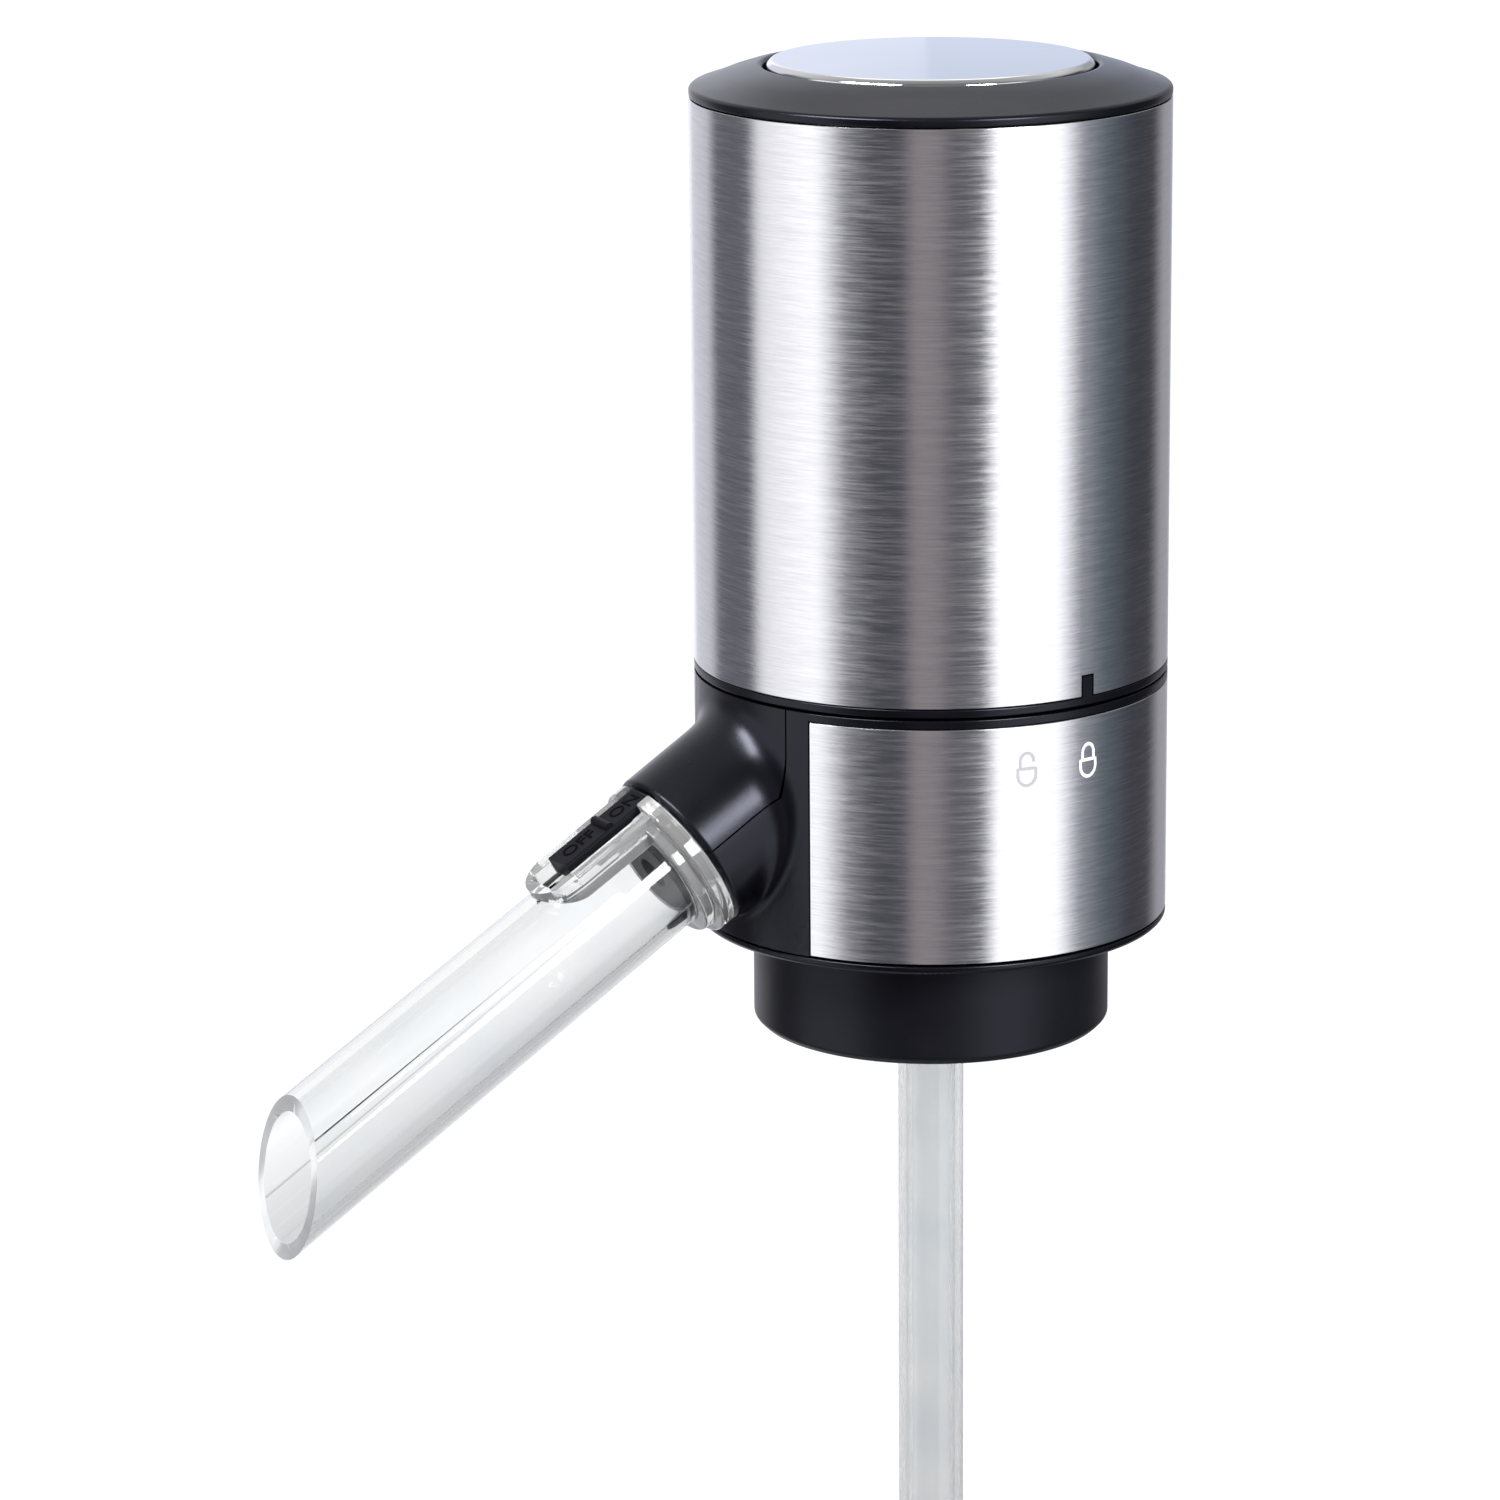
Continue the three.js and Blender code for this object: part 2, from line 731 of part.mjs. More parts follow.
// The steel wrap round the base, open where the black front is
function basePanel() {
  const seam = seamGap / bodyRadius;
  const from = spoutAzimuth + frontHalfAngle + seam;
  const to = spoutAzimuth - frontHalfAngle - seam + fullTurn;
  const inner = bodyRadius - steelThickness;
  return prism(arcBand(inner, bodyRadius, from, to), rimTop + seatGap, panelTop - seatGap);
}

function basePlate() {
  const ring = revolve([
    [collarRadius + fitGap, collarHeight],
    [bodyRadius - baseChamfer, collarHeight],
    [bodyRadius, collarHeight + baseChamfer],
    [bodyRadius, rimTop - seamGap],
    [housingInside - fitGap, rimTop - seamGap],
    [housingInside - fitGap, plateTop],
    [collarRadius + fitGap, plateTop],
  ], skinSides);
  const holes = plateScrewAngles().flatMap((angle) => {
    const low = collarHeight - cutOverrun;
    const headRoom = rod(screwHeadRadius + fitGap, low, collarHeight + plateScrewHeadDepth);
    const shankRoom = rod(screwRadius + fitGap, low, plateTop + cutOverrun);
    return [at(headRoom, plateScrewCircle, angle), at(shankRoom, plateScrewCircle, angle)];
  });
  return cut(ring, ...holes);
}

// The collar hangs through the plate on a flange, which clears the screw bosses
function bottleCollar() {
  const flangeRadiusOut = collarRadius + collarFlangeReach;
  const shell = revolve([
    [collarLipInside, 0],
    [collarRadius - collarEdge, 0],
    [collarRadius, collarEdge],
    [collarRadius, collarFlangeBottom],
    [flangeRadiusOut, collarFlangeBottom],
    [flangeRadiusOut, collarTop],
    [collarInside, collarTop],
    [collarInside, collarWebBottom + collarWebThickness],
    [elbowHole, collarWebBottom + collarWebThickness],
    [elbowHole, collarWebBottom],
    [collarInside, collarWebBottom],
    [collarInside, collarLipHeight],
    [collarLipInside, collarLipHeight],
  ], skinSides);
  const scallops = plateScrewAngles().map((angle) => {
    const scallop = rod(plateBossRadius + fitGap, plateTop, collarTop + cutOverrun);
    return at(scallop, plateScrewCircle, angle);
  });
  return cut(shell, airHole(collarWebBottom), ...scallops);
}

function airHole(level) {
  const room = airTubeRadius + fitGap;
  const reach = collarWebThickness + cutOverrun;
  return at(rod(room, level - reach, level + reach), nippleOffset, nippleAngle);
}

function bottleSeal() {
  const lips = [];
  const lowest = sealBottom + sealMouthFlare + sealLipHeight;
  for (let top = sealSeatHeight - sealLipHeight; top > lowest; top -= sealLipPitch) {
    lips.push([sealBore, top]);
    lips.push([sealBore - sealLipDepth, top - sealLipHeight / 2]);
    lips.push([sealBore, top - sealLipHeight]);
  }
  const ring = revolve([
    [sealRadius, sealBottom],
    [sealRadius, sealTop],
    [elbowHole, sealTop],
    [elbowHole, sealSeatHeight],
    [sealBore - sealCorner, sealSeatHeight],
    [sealBore, sealSeatHeight - sealCorner],
    ...lips,
    [sealBore, sealBottom + sealMouthFlare],
    [sealBore + sealMouthFlare, sealBottom],
  ], innerSides);
  const hole = rod(airTubeRadius + fitGap, sealSeatHeight - cutOverrun, sealTop + cutOverrun);
  return cut(ring, at(hole, nippleOffset, nippleAngle));
}

// The elbow's centre line: up the body axis, over, and down along the spout axis
function elbowPath(startBelow, endPast) {
  const turn = Math.PI / 2 + spoutFall;
  const tangent = elbowBend * Math.tan(turn / 2);
  const outwards = new THREE.Vector3(Math.cos(spoutAzimuth), Math.sin(spoutAzimuth), 0);
  const bendStart = new THREE.Vector3(0, 0, spoutCrossHeight - tangent);
  const centre = bendStart.clone().addScaledVector(outwards, elbowBend);
  const upwards = new THREE.Vector3(0, 0, 1);
  const bend = new Bend(centre, outwards.clone().negate(), upwards, elbowBend, turn);
  const along = (distance) => byNozzle(distance, 0, 0);
  const path = new THREE.CurvePath();
  path.add(new THREE.LineCurve3(new THREE.Vector3(0, 0, startBelow), bendStart));
  path.add(bend);
  path.add(new THREE.LineCurve3(along(tangent), along(endPast)));
  return path;
}

function wineElbow() {
  const cupTop = socketCupBottom + socketCupHeight;
  const boreTop = cupTop - socketCupFloor;
  const end = spoutSocketStart + spoutSocketFloor - elbowEndPlay;
  const outside = join(
    rod(socketCupRadius, socketCupBottom, cupTop, elbowSides),
    pipe(elbowPath(boreTop, end), elbowRadius, elbowSteps, elbowSides),
  );
  const bore = rod(socketCupBore, socketCupBottom - cutOverrun, boreTop, elbowSides);
  const path = elbowPath(boreTop - cutOverrun, end + cutOverrun);
  return cut(outside, bore, pipe(path, wineBore, elbowSteps, elbowSides));
}

function spoutSocket() {
  const end = nozzleLength - fitGap;
  const outer = nozzleBore - fitGap;
  const inner = spigotRadius + fitGap;
  const floorTop = spoutSocketStart + spoutSocketFloor;
  return inSpoutFrame(revolve([
    [elbowRadius + fitGap, spoutSocketStart],
    [outer, spoutSocketStart],
    [outer, end],
    [inner, end],
    [inner, floorTop],
    [elbowRadius + fitGap, floorTop],
  ], tubeSides));
}

function upperDipTube() {
  const top = socketCupBottom + socketCupHeight - socketCupFloor - fitGap;
  return sleeve(upperTubeRadius - tubeWall, upperTubeRadius, -upperTubeEnd, top, cellSides);
}

function lowerDipTube() {
  const bottom = -upperTubeEnd - lowerTubeShow;
  const inner = lowerTubeRadius - tubeWall;
  const tube = sleeve(inner, lowerTubeRadius, bottom, bottom + lowerTubeLength, cellSides);
  const reach = lowerTubeRadius * 2;
  const knife = block([-reach * 2, reach * 2], [-reach, reach], [-reach * 2, 0]);
  knife.rotateY(-lowerTubeTipAngle);
  knife.translate(-lowerTubeRadius, 0, bottom);
  return cut(tube, knife);
}

function airNipple() {
  const bottom = sealSeatHeight + fitGap;
  const flangeBottom = collarWebBottom + collarWebThickness + seatGap;
  const tube = revolve([
    [airBore, bottom],
    [airTubeRadius, bottom],
    [airTubeRadius, flangeBottom],
    [airFlangeRadius, flangeBottom],
    [airFlangeRadius, flangeBottom + airFlangeThickness],
    [airTubeRadius, flangeBottom + airFlangeThickness],
    [airTubeRadius, nippleTop],
    [airBore, nippleTop],
  ], rodSides);
  return at(tube, nippleOffset, nippleAngle);
}

function airHose() {
  const [bottom, top] = [nippleTop - hoseGrip, headBottom - fitGap];
  const rise = top - bottom;
  const places = [
    [nippleOffset, 0],
    [nippleOffset, hoseGrip / rise],
    [(nippleOffset + outletOffset) / 2, 0.5],
    [outletOffset, 1 - hoseGrip / rise],
    [outletOffset, 1],
  ];
  const path = new THREE.CatmullRomCurve3(places.map(([radius, share]) => new THREE.Vector3(
    radius * Math.cos(nippleAngle),
    radius * Math.sin(nippleAngle),
    bottom + share * rise,
  )));
  const inner = airTubeRadius + fitGap;
  const shape = circleShape(inner + hoseWall);
  shape.holes.push(new THREE.Path().absarc(0, 0, inner, 0, fullTurn, true));
  const curveSegments = rodSides / 2;
  const settings = { steps: hoseSteps, bevelEnabled: false, extrudePath: path, curveSegments };
  return new THREE.ExtrudeGeometry(shape, settings);
}

function holderScrewAngles() {
  return [0, Math.PI];
}

function pumpScrewAngles() {
  return [Math.PI / 2, -Math.PI / 2];
}

// Two round plates and a fluted web, with a bay for each battery and a bore for the motor
function batteryHolder() {
  const plates = [
    sleeve(holderBore, holderRadius, holderBottom, bayBottom, innerSides),
    sleeve(holderVentRadius, holderRadius, bayTop, holderTop, innerSides),
  ];
  const web = sleeve(holderBore, holderWebRadius, bayBottom, bayTop, innerSides);
  const bays = around(batteryCount, (angle) => {
    return at(rod(batteryRadius + fitGap, bayBottom, bayTop, cellSides), batteryCircle, angle);
  }, batteryFirstAngle);
  const posts = around(boardPostCount, (angle) => {
    const post = rod(boardPostRadius, holderTop - holderPlate / 2, holderTop + boardPostHeight);
    return at(post, boardPostCircle, angle);
  });
  const screwHoles = holderScrewAngles().map((angle) => {
    const room = rod(screwRadius + fitGap, holderBottom - cutOverrun, bayBottom + cutOverrun);
    return at(room, holderScrewCircle, angle);
  });
  const postHoles = around(boardPostCount, (angle) => {
    const hole = rod(screwRadius + fitGap, bayTop - cutOverrun, boardTop);
    return at(hole, boardPostCircle, angle);
  });
  const solid = join(...plates, cut(web, ...bays), ...posts);
  return cut(solid, ...screwHoles, ...postHoles);
}

function batteryAngle(number) {
  return batteryFirstAngle + number * fullTurn / batteryCount;
}

// Every second cell stands on its head
function battery(number) {
  const bottom = bayBottom + contactThickness + contactRise + seatGap;
  const top = bottom + batteryLength;
  const cell = revolve([
    [0, bottom],
    [batteryRadius, bottom],
    [batteryRadius, top - batteryTipHeight],
    [batteryTipRadius, top - batteryTipHeight],
    [batteryTipRadius, top],
    [0, top],
  ], cellSides);
  if (number % 2 === 1) cell.rotateX(Math.PI).translate(0, 0, bottom + top);
  return at(cell, batteryCircle, batteryAngle(number));
}

// A plate with a coiled spring for a cell's flat end, or with a pressed dome for its tip
function batteryContact(number, isUpper) {
  const plate = rod(contactRadius, 0, contactThickness);
  const facesTip = isUpper === (number % 2 === 0);
  const foot = contactThickness - contactWire / 2;
  const coil = new Helix(contactRadius / 2, foot, contactRise - contactWire / 2, contactTurns);
  const spring = () => pipe(coil, contactWire, contactTurns * wireStepsPerTurn, wireSides);
  const domeTop = contactThickness + contactRise;
  const dome = () => revolve([
    [0, contactThickness / 2],
    [batteryTipRadius, contactThickness / 2],
    [batteryTipRadius, domeTop - contactThickness],
    [batteryTipRadius / 2, domeTop],
    [0, domeTop],
  ], rodSides);
  const contact = join(plate, facesTip ? dome() : spring());
  if (isUpper) contact.rotateX(Math.PI).translate(0, 0, bayTop - seatGap);
  else contact.translate(0, 0, bayBottom + seatGap);
  return at(contact, batteryCircle, batteryAngle(number));
}

function motorCan() {
  return sleeve(shaftRadius + fitGap, motorRadius, motorBottom, endBellBottom - seatGap, innerSides);
}

function motorEndBell() {
  return revolve([
    [shaftRadius + fitGap, endBellBottom],
    [motorRadius, endBellBottom],
    [motorRadius, motorTop],
    [endBellBossRadius, motorTop],
    [endBellBossRadius, motorTop + endBellBossRise],
    [shaftRadius + fitGap, motorTop + endBellBossRise],
  ], innerSides);
}

function motorShaft() {
  return rod(shaftRadius, wheelBottom + wheelHeight / 2, motorTop);
}

function pumpScrewRooms(bottom, top) {
  return pumpScrewAngles().map((angle) => {
    return at(rod(screwRadius + fitGap, bottom, top), pumpScrewCircle, angle);
  });
}

function pumpHousing() {
  const cup = revolve([
    [pumpInside, pumpBottom],
    [motorRadius, pumpBottom],
    [motorRadius, pumpTop],
    [pumpHubBore, pumpTop],
    [pumpHubBore, pumpTop - pumpCeiling],
    [pumpInside, pumpTop - pumpCeiling],
  ], innerSides);
  return cut(cup, ...pumpScrewRooms(pumpBottom - cutOverrun, pumpBottom + pumpScrewReach));
}

function pumpDiaphragm() {
  const sheet = rod(motorRadius, diaphragmBottom, diaphragmTop, innerSides);
  const cups = around(chamberCount, (angle) => at(revolve([
    [0, diaphragmBottom + diaphragmThickness / 2],
    [diaphragmCupRadius, diaphragmBottom + diaphragmThickness / 2],
    [diaphragmCupRadius, diaphragmTop + diaphragmCupHeight / 2],
    [diaphragmStemRadius, diaphragmTop + diaphragmCupHeight],
    [diaphragmStemRadius, diaphragmTop + diaphragmStemRise],
    [0, diaphragmTop + diaphragmStemRise],
  ], rodSides), chamberCircle, angle));
  const rooms = pumpScrewRooms(diaphragmBottom - cutOverrun, diaphragmTop + cutOverrun);
  return cut(join(sheet, ...cups), ...rooms);
}

function pumpValvePlate() {
  const ports = around(chamberCount, (angle) => {
    const port = rod(valvePortRadius, valveBottom - cutOverrun, valveTop + cutOverrun);
    return at(port, chamberCircle, angle);
  });
  const rooms = pumpScrewRooms(valveBottom - cutOverrun, valveTop + cutOverrun);
  return cut(rod(motorRadius, valveBottom, valveTop, innerSides), ...ports, ...rooms);
}

function pumpHead() {
  const disc = rod(motorRadius, headBottom, headTop, innerSides);
  const outlet = rod(airTubeRadius, headBottom - outletLength, headTop - pumpHeadHeight / 2);
  const bore = rod(airBore, headBottom - outletLength - cutOverrun, headTop + cutOverrun);
  const whole = join(disc, at(outlet, outletOffset, nippleAngle));
  const rooms = pumpScrewRooms(headBottom - cutOverrun, headTop + cutOverrun);
  return cut(whole, at(bore, outletOffset, nippleAngle), ...rooms);
}

// The wheel on the shaft, with the inclined pin that carries the swash plate
function eccentricWheel() {
  const wheel = revolve([
    [shaftRadius + seatGap, wheelBottom + wheelHeight / 2 - seatGap],
    [shaftRadius + seatGap, wheelBottom + wheelHeight],
    [wheelRadius, wheelBottom + wheelHeight],
    [wheelRadius, wheelBottom],
    [0, wheelBottom],
    [0, wheelBottom + wheelHeight / 2 - seatGap],
  ], cellSides);
  const top = wheelBottom + wheelHeight / 4 - nutationHeight;
  const bottom = wheelBottom - nutationHeight - pinReach;
  const pin = rod(pinRadius, bottom, top).rotateY(nutationAngle).translate(0, 0, nutationHeight);
  return join(wheel, pin);
}

function swashPlate() {
  const disc = rod(swashRadius, swashRise, swashRise + swashThickness, cellSides);
  const hubBottom = swashRise - (swashHubHeight - swashThickness) / 2;
  const hub = rod(swashHubRadius, hubBottom, hubBottom + swashHubHeight, rodSides);
  const notches = around(chamberCount, (angle) => {
    const [low, high] = [swashRise - cutOverrun, swashRise + swashThickness + cutOverrun];
    return at(rod(swashNotchRadius, low, high), swashRadius, angle);
  }, fullTurn / chamberCount / 2);
  const bore = rod(pinRadius + fitGap, 0, swashRise + swashHubHeight * 2);
  return cut(join(cut(disc, ...notches), hub), bore);
}

function motorLead(side) {
  const bottom = motorTop + seatGap;
  const top = boardBottom - seatGap;
  const run = top - bottom;
  const bow = leadRadius * side;
  const straight = leadOffset * side;
  const endShare = leadRadius / 2 / run;
  const points = [[0, 0], [endShare, 0], [0.5, bow], [1 - endShare, 0], [1, 0]];
  const path = new THREE.CatmullRomCurve3(points.map(([share, sway]) => {
    return new THREE.Vector3(straight + sway, sway, bottom + share * run);
  }));
  return pipe(path, leadRadius, wireStepsPerTurn, wireSides);
}

function circuitBoard() {
  const board = rod(boardRadius, boardBottom, boardTop, innerSides);
  const holes = around(boardPostCount, (angle) => {
    const hole = rod(screwRadius + fitGap, boardBottom - cutOverrun, boardTop + cutOverrun);
    return at(hole, boardPostCircle, angle);
  });
  return cut(board, ...holes);
}

function tactSwitch() {
  const half = switchWidth / 2;
  const bottom = boardTop + seatGap;
  const body = block([-half, half], [-half, half], [bottom, switchTop]);
  return join(body, rod(switchKeyRadius, switchTop - switchHeight / 2, switchTop + switchKeyRise));
}

// A pan-head screw with a point; its head is below the shank
function screw(length) {
  return revolve([
    [0, 0],
    [screwHeadRadius, 0],
    [screwHeadRadius, screwHeadHeight],
    [screwRadius, screwHeadHeight],
    [screwRadius, length],
    [0, length + screwRadius],
  ], rodSides);
}

function steelSleeve() {
  const inner = bodyRadius - steelThickness;
  const tube = sleeve(inner, bodyRadius, sleeveBottom + seatGap, sleeveTop, skinSides);
  const half = tickWidth / 2 + seamGap;
  const across = [inner - steelThickness, bodyRadius + cutOverrun];
  const top = sleeveBottom + tickHeight + seamGap;
  const notch = block(across, [-half, half], [sleeveBottom - cutOverrun, top]).rotateZ(tickAngle);
  return cut(tube, notch);
}

// The cover's inner shell: the lower flange with its index tick, the bayonet lugs and the deck
function coverLiner() {
  const shell = revolve([
    [linerInside, coverBottom],
    [bodyRadius, coverBottom],
    [bodyRadius, sleeveBottom],
    [shellRadius, sleeveBottom],
    [shellRadius, deckTop],
    [plungerRadius + fitGap, deckTop],
    [plungerRadius + fitGap, deckBottom],
    [linerInside, deckBottom],
  ], skinSides);
  const half = tickWidth / 2;
  const across = [shellRadius - linerWall / 2, bodyRadius];
  const upright = [sleeveBottom - coverBandHeight / 2, sleeveBottom + tickHeight];
  const tick = block(across, [-half, half], upright);
  const lugs = around(bayonetCount, (angle) => {
    const shape = arcBand(
      neckRadius + fitGap,
      linerInside + linerWall / 2,
      angle - bayonetHalfAngle,
      angle + bayonetHalfAngle,
    );
    return prism(shape, lugTop - lugHeight, lugTop);
  });
  const screwRooms = bezelScrewAngles().map((angle) => {
    const room = rod(screwRadius + fitGap, deckBottom - cutOverrun, deckTop + cutOverrun);
    return at(room, bezelScrewCircle, angle);
  });
  return cut(join(shell, tick.rotateZ(tickAngle), ...lugs), ...screwRooms);
}

function bezelScrewAngles() {
  return around(bezelScrewCount, (angle) => angle, spoutAzimuth);
}

function topBezel() {
  const slopeStart = bodyRadius - bezelEdge;
  const slopeEnd = bezelInnerRadius + bezelSlopeInset;
  const ring = revolve([
    [bezelBore, deckTop + seatGap],
    [shellRadius, deckTop + seatGap],
    [shellRadius, sleeveTop + seatGap],
    [bodyRadius, sleeveTop + seatGap],
    [bodyRadius, lipTop - bezelEdge],
    [slopeStart, lipTop],
    [(slopeStart + slopeEnd) / 2, (lipTop + bezelTop) / 2 + bezelCrown],
    [slopeEnd, bezelTop],
    [bezelInnerRadius, bezelTop - bezelEdge],
    [bezelInnerRadius, lipTop],
    [bezelBore, lipTop],
  ], skinSides);
  const pilots = bezelScrewAngles().map((angle) => {
    const pilot = rod(screwRadius + fitGap, deckTop - cutOverrun, deckTop + bezelScrewDepth + fitGap);
    return at(pilot, bezelScrewCircle, angle);
  });
  return cut(ring, ...pilots);
}

function buttonCap() {
  const flatRadius = buttonRadius - buttonBevel;
  const dome = [];
  for (let step = 0; step <= buttonDomeSteps; step += 1) {
    const share = step / buttonDomeSteps;
    dome.push([flatRadius * share, buttonEdgeHeight + buttonDome * (1 - share ** 2)]);
  }
  const flangeBottom = buttonFlangeTop - buttonFlangeThickness;
  return revolve([
    ...dome,
    [buttonRadius, buttonEdgeHeight - buttonBevel],
    [buttonRadius, buttonFlangeTop],
    [buttonRadius + buttonFlangeReach, buttonFlangeTop],
    [buttonRadius + buttonFlangeReach, flangeBottom],
    [buttonRadius - buttonSkin, flangeBottom],
    [buttonRadius - buttonSkin, buttonUnderside],
    [0, buttonUnderside],
  ], skinSides);
}

function buttonPlunger() {
  const padTop = buttonUnderside - seatGap;
  const padBottom = padTop - plungerPadThickness;
  return revolve([
    [0, plungerBottom],
    [plungerRadius, plungerBottom],
    [plungerRadius, padBottom],
    [plungerPadRadius, padBottom],
    [plungerPadRadius, padTop],
    [0, padTop],
  ], cellSides);
}

function buttonSpring() {
  const bottom = deckTop + springWire + seatGap;
  const top = buttonUnderside - seatGap - plungerPadThickness - springWire - seatGap;
  const coil = new Helix(springRadius, bottom, top - bottom, springTurns);
  return pipe(coil, springWire, Math.round(springTurns * springStepsPerTurn), wireSides);
}

// The moulded spout: spigot, flange, slider rail and slightly flared tube with a raked mouth
function spoutTube() {
  const beyond = spoutEnd + spoutTipRadius * 2;
  const grooveRadius = spigotRadius - ringGrooveDepth;
  const grooveEnd = ringGrooveStart + ringGrooveWidth;
  const outside = revolve([
    [0, spigotStart],
    [spigotRadius - spoutEdge, spigotStart],
    [spigotRadius, spigotStart + spoutEdge],
    [spigotRadius, ringGrooveStart],
    [grooveRadius, ringGrooveStart],
    [grooveRadius, grooveEnd],
    [spigotRadius, grooveEnd],
    [spigotRadius, flangeStart],
    [flangeRadius, flangeStart],
    [flangeRadius, flangeEnd],
    [flangeStepRadius, flangeEnd],
    [flangeStepRadius, stepEnd - spoutEdge],
    [flangeStepRadius - spoutEdge, stepEnd],
    [spoutRadius, stepEnd],
    [spoutTipRadius, beyond],
    [0, beyond],
  ], tubeSides);
  const passage = revolve([
    [0, spigotStart - cutOverrun],
    [spigotBore, spigotStart - cutOverrun],
    [spigotBore, insertSeatStart],
    [spoutRadius - spoutWall, insertSeatStart],
    [spoutTipRadius - spoutWall, beyond + cutOverrun],
    [0, beyond + cutOverrun],
  ], tubeSides);
  const knifeReach = spoutTipRadius * 4;
  const knife = block([-knifeReach, knifeReach], [-knifeReach, knifeReach], [0, knifeReach]);
  knife.rotateX(-spoutTipAngle).translate(0, 0, spoutEnd);
  return cut(join(outside, sliderRail()), passage, sliderChannel(), knife);
}

// A strip along the spout's upper side with a round outer end
function sliderRail() {
  const half = railWidth / 2;
  const shape = new THREE.Shape();
  shape.moveTo(-half, flangeStart);
  shape.lineTo(half, flangeStart);
  shape.lineTo(half, railEnd - half);
  shape.absarc(0, railEnd - half, half, 0, Math.PI, false);
  shape.closePath();
  return prism(shape, railRoot, railTop, railNoseSides).rotateX(Math.PI / 2).scale(1, -1, 1);
}

function sliderChannel() {
  const neckHalf = sliderWidth / 2 + fitGap;
  const wingHalf = sliderWingWidth / 2 + fitGap;
  const from = flangeStart - cutOverrun;
  const floor = railTop - channelDepth;
  const [lip, above] = [railTop - railLipThickness, flangeRadius + cutOverrun];
  const neck = block([-neckHalf, neckHalf], [floor, above], [from, channelEnd]);
  const wings = block([-wingHalf, wingHalf], [floor, lip], [from, channelEnd - sliderWingSetback]);
  const port = rod(airPortRadius, 0, railTop).rotateX(-Math.PI / 2);
  port.translate(0, 0, channelEnd - airPortSetback);
  return join(neck, wings, port);
}

function aerationSlider() {
  const [half, wingHalf] = [sliderWidth / 2, sliderWingWidth / 2];
  const bottom = railTop - channelDepth + fitGap;
  const section = new THREE.Shape([
    new THREE.Vector2(-half, bottom),
    new THREE.Vector2(half, bottom),
    new THREE.Vector2(half, sliderTop - sliderEdge),
    new THREE.Vector2(half - sliderEdge, sliderTop),
    new THREE.Vector2(-half + sliderEdge, sliderTop),
    new THREE.Vector2(-half, sliderTop - sliderEdge),
  ]);
  const [from, to] = [flangeStart, flangeStart + sliderLength];
  const bar = prism(section, from, to);
  const wingSpan = [from, to - sliderWingSetback];
  const wings = block([-wingHalf, wingHalf], [bottom, bottom + sliderWingThickness], wingSpan);
  const ridgeHalf = half - sliderEdge;
  const ridge = rod(sliderRidgeRadius, -ridgeHalf, ridgeHalf).rotateY(Math.PI / 2);
  ridge.translate(0, sliderTop, from + sliderLength * sliderRidgePlaceShare);
  return join(bar, wings, ridge);
}

function spoutRing() {
  const middle = ringGrooveStart + ringGrooveWidth / 2;
  const inner = spigotRadius - ringGrooveDepth;
  const centre = (inner + spigotRadius + fitGap) / 2;
  const section = around(ringSides, (angle) => [
    centre + ringWire * Math.cos(angle),
    middle + ringWire * Math.sin(angle),
  ]);
  return revolve(section, tubeSides);
}

// The throat in the bore, where the wine speeds up and draws the air in
function aeratorInsert() {
  const outer = spoutRadius - spoutWall - insertGap;
  const end = insertStart + insertThickness;
  return revolve([
    [insertMouth, insertStart],
    [outer, insertStart],
    [outer, end],
    [insertThroat, end],
    [insertThroat, insertStart + insertThickness / 2],
  ], tubeSides);
}

function finish(color, roughness, metalness, opacity = 1) {
  const transparent = opacity < 1;
  const settings = { color, roughness, metalness, opacity, transparent, flatShading: true };
  return new THREE.MeshStandardMaterial(settings);
}

function piece(name, geometry, material) {
  const mesh = new THREE.Mesh(welded(geometry), material);
  mesh.name = name;
  return mesh;
}

function addScrews(group, name, angles, circle, height, length, pointsDown = false) {
  angles.forEach((angle, i) => {
    const mesh = piece(`${name}_${i + 1}`, screw(length), finish(steelColour, 0.35, 1));
    if (pointsDown) mesh.rotation.x = Math.PI;
    mesh.position.set(circle * Math.cos(angle), circle * Math.sin(angle), height);
    group.add(mesh);
  });
}

function addBase(group) {
  group.add(piece('base_housing', baseHousing(), finish(blackPlastic, 0.42, 0)));
  group.add(piece('nozzle_cover', noseCover(), finish(blackPlastic, 0.42, 0)));
  group.add(piece('base_panel', basePanel(), finish(steelColour, 0.3, 1)));
  group.add(piece('base_plate', basePlate(), finish(blackPlastic, 0.4, 0)));
  group.add(piece('bottle_collar', bottleCollar(), finish(softBlack, 0.5, 0)));
  group.add(piece('bottle_seal', bottleSeal(), finish(siliconeColour, 0.7, 0)));
  addScrews(
    group,
    'plate_screw',
    plateScrewAngles(),
    plateScrewCircle,
    collarHeight + plateScrewHeadDepth - screwHeadHeight - seatGap,
    screwLength,
  );
}

function addWinePassage(group) {
  group.add(piece('wine_elbow', wineElbow(), finish(softBlack, 0.5, 0)));
  group.add(piece('spout_socket', spoutSocket(), finish(softBlack, 0.5, 0)));
  group.add(piece('dip_tube_upper', upperDipTube(), finish(clearColour, 0.1, 0, 0.4)));
  group.add(piece('dip_tube_lower', lowerDipTube(), finish(clearColour, 0.1, 0, 0.4)));
}

function addAirPassage(group) {
  group.add(piece('air_nipple', airNipple(), finish(creamColour, 0.5, 0)));
  group.add(piece('air_hose', airHose(), finish(creamColour, 0.6, 0)));
}

